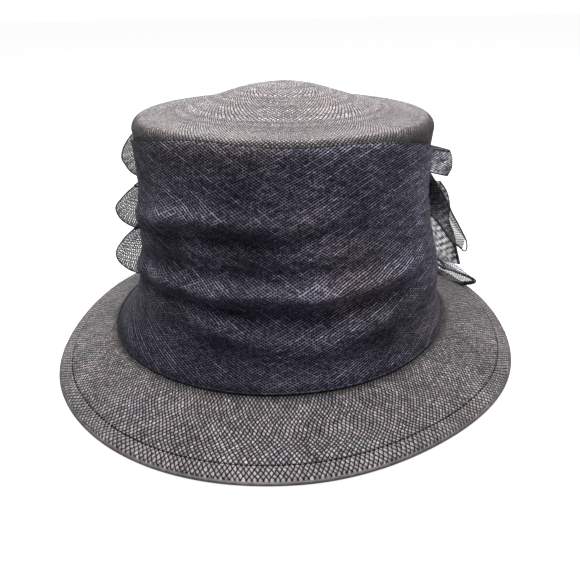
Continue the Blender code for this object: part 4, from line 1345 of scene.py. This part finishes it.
def build_stage(context):
    """A plain pale floor, soft lights and the camera at the photograph's angle.

    Floor and room are lighter to the camera than to the hat, as behind a cut-out picture.
    """
    scene = context.scene
    scene.view_settings.view_transform = "Standard"
    bpy.ops.mesh.primitive_plane_add(size=14.0, location=(0.0, 0.0, FLOOR_HEIGHT))
    floor = context.active_object
    floor.name = "floor"
    material, tree, shader = new_material("pale_floor")
    seen = wire(tree, "ShaderNodeLightPath").outputs["Is Camera Ray"]
    tree.links.new(maths(tree, "MULTIPLY_ADD", seen, 0.85, 0.05), shader.inputs["Emission Strength"])
    shader.inputs["Base Color"].default_value = (0.40, 0.40, 0.40, 1.0)
    shader.inputs["Roughness"].default_value = 0.9
    shader.inputs["Emission Color"].default_value = (1.0, 1.0, 1.0, 1.0)
    floor.data.materials.append(material)
    world = bpy.data.worlds.new("soft_room")
    world.use_nodes = True
    room = world.node_tree
    seen = wire(room, "ShaderNodeLightPath").outputs["Is Camera Ray"]
    room.nodes["Background"].inputs[0].default_value = (1.0, 1.0, 1.0, 1.0)
    room.links.new(maths(room, "MULTIPLY_ADD", seen, 0.84, 0.16), room.nodes["Background"].inputs[1])
    scene.world = world
    lights = (
        # name, place, turn in degrees, size, power
        ("top_light", (0.0, -0.05, 1.25), (0.0, 0.0, 0.0), 0.9, 25.0),
        ("back_light", (0.0, 1.35, 0.75), (-66.0, 0.0, 0.0), 1.0, 9.0),
    )
    for name, place, turn, across, power in lights:
        lamp = bpy.data.lights.new(name, "AREA")
        lamp.size = across
        lamp.energy = power
        item = bpy.data.objects.new(name, lamp)
        item.location = place
        item.rotation_euler = [np.radians(angle) for angle in turn]
        scene.collection.objects.link(item)
    eye = bpy.data.cameras.new("photo_camera")
    eye.sensor_width = 36.0
    eye.lens = 36.0 * PHOTO_FOCUS / PHOTO_SIDE
    eye.shift_x = PHOTO_SHIFT / PHOTO_SIDE
    camera = bpy.data.objects.new("photo_camera", eye)
    tilt = Euler((np.radians(90.0 - CAMERA_DOWNWARD), 0.0, 0.0)).to_matrix().to_4x4()
    roll = Matrix.Rotation(CAMERA_ROLL, 4, "Z")
    camera.matrix_world = Matrix.Translation(CAMERA_PLACE) @ tilt @ roll
    scene.collection.objects.link(camera)
    scene.camera = camera


class HAT_OT_stage(bpy.types.Operator):
    """Set the floor, the lights and the camera"""

    bl_idname = "hat.stage"
    bl_label = "Stage"

    def execute(self, context):
        build_stage(context)
        return {"FINISHED"}


class HAT_OT_crown(bpy.types.Operator):
    """Plait the straw crown"""

    bl_idname = "hat.crown"
    bl_label = "Crown"

    def execute(self, context):
        build_crown(context.scene.hat_sizes, context.scene.hat_finish)
        return {"FINISHED"}


class HAT_OT_brim(bpy.types.Operator):
    """Plait the straw brim with its hem"""

    bl_idname = "hat.brim"
    bl_label = "Brim"

    def execute(self, context):
        build_brim(context.scene.hat_sizes, context.scene.hat_finish)
        return {"FINISHED"}


class HAT_OT_fibres(bpy.types.Operator):
    """Let stray straw ends stand off the crown and the brim"""

    bl_idname = "hat.fibres"
    bl_label = "Stray straws"

    def execute(self, context):
        build_fibres(context.scene.hat_sizes, context.scene.hat_finish)
        return {"FINISHED"}


class HAT_OT_knot(bpy.types.Operator):
    """Wrap the knot at the back"""

    bl_idname = "hat.knot"
    bl_label = "Knot"

    def execute(self, context):
        build_knot(context.scene.hat_sizes, context.scene.hat_finish)
        return {"FINISHED"}


class HAT_OT_drape(bpy.types.Operator):
    """Fold the sinamay swathe round the crown"""

    bl_idname = "hat.drape"
    bl_label = "Swathe"

    def execute(self, context):
        build_drape(context.scene.hat_sizes, context.scene.hat_finish)
        return {"FINISHED"}


class HAT_OT_loops(bpy.types.Operator):
    """Stand the sinamay loops at the back"""

    bl_idname = "hat.loops"
    bl_label = "Loops"

    def execute(self, context):
        build_loops(context.scene.hat_sizes, context.scene.hat_finish)
        return {"FINISHED"}


class HAT_OT_flap(bpy.types.Operator):
    """Hang the long flap on the right"""

    bl_idname = "hat.flap"
    bl_label = "Flap"

    def execute(self, context):
        build_flap(context.scene.hat_sizes, context.scene.hat_finish)
        build_lining(context.scene.hat_sizes, context.scene.hat_finish)
        return {"FINISHED"}


OPERATORS = (HAT_OT_stage, HAT_OT_crown, HAT_OT_brim, HAT_OT_fibres, HAT_OT_knot, HAT_OT_drape,
             HAT_OT_loops, HAT_OT_flap)


class HAT_PT_panel(bpy.types.Panel):
    """Panel with the hat's pieces and sizes"""

    bl_label = "Straw cloche"
    bl_idname = "HAT_PT_panel"
    bl_space_type = "VIEW_3D"
    bl_region_type = "UI"
    bl_category = "Hat"

    def draw(self, context):
        for operator in OPERATORS:
            self.layout.operator(operator.bl_idname)
        for group in (context.scene.hat_sizes, context.scene.hat_finish):
            for key in group.__annotations__:
                self.layout.prop(group, key)


CLASSES = (HatSizes, HatFinish, *OPERATORS, HAT_PT_panel)


def register():
    """Make the sizes, the operators and the panel known to Blender."""
    for item in CLASSES:
        bpy.utils.register_class(item)
    bpy.types.Scene.hat_sizes = PointerProperty(type=HatSizes)
    bpy.types.Scene.hat_finish = PointerProperty(type=HatFinish)


def unregister():
    """Undo register."""
    del bpy.types.Scene.hat_finish
    del bpy.types.Scene.hat_sizes
    for item in reversed(CLASSES):
        bpy.utils.unregister_class(item)


def main():
    """Build the whole hat and its stage."""
    register()
    bpy.ops.hat.stage()
    bpy.ops.hat.crown()
    bpy.ops.hat.brim()
    bpy.ops.hat.fibres()
    bpy.ops.hat.knot()
    bpy.ops.hat.drape()
    bpy.ops.hat.loops()
    bpy.ops.hat.flap()


if __name__ == "__main__":
    main()
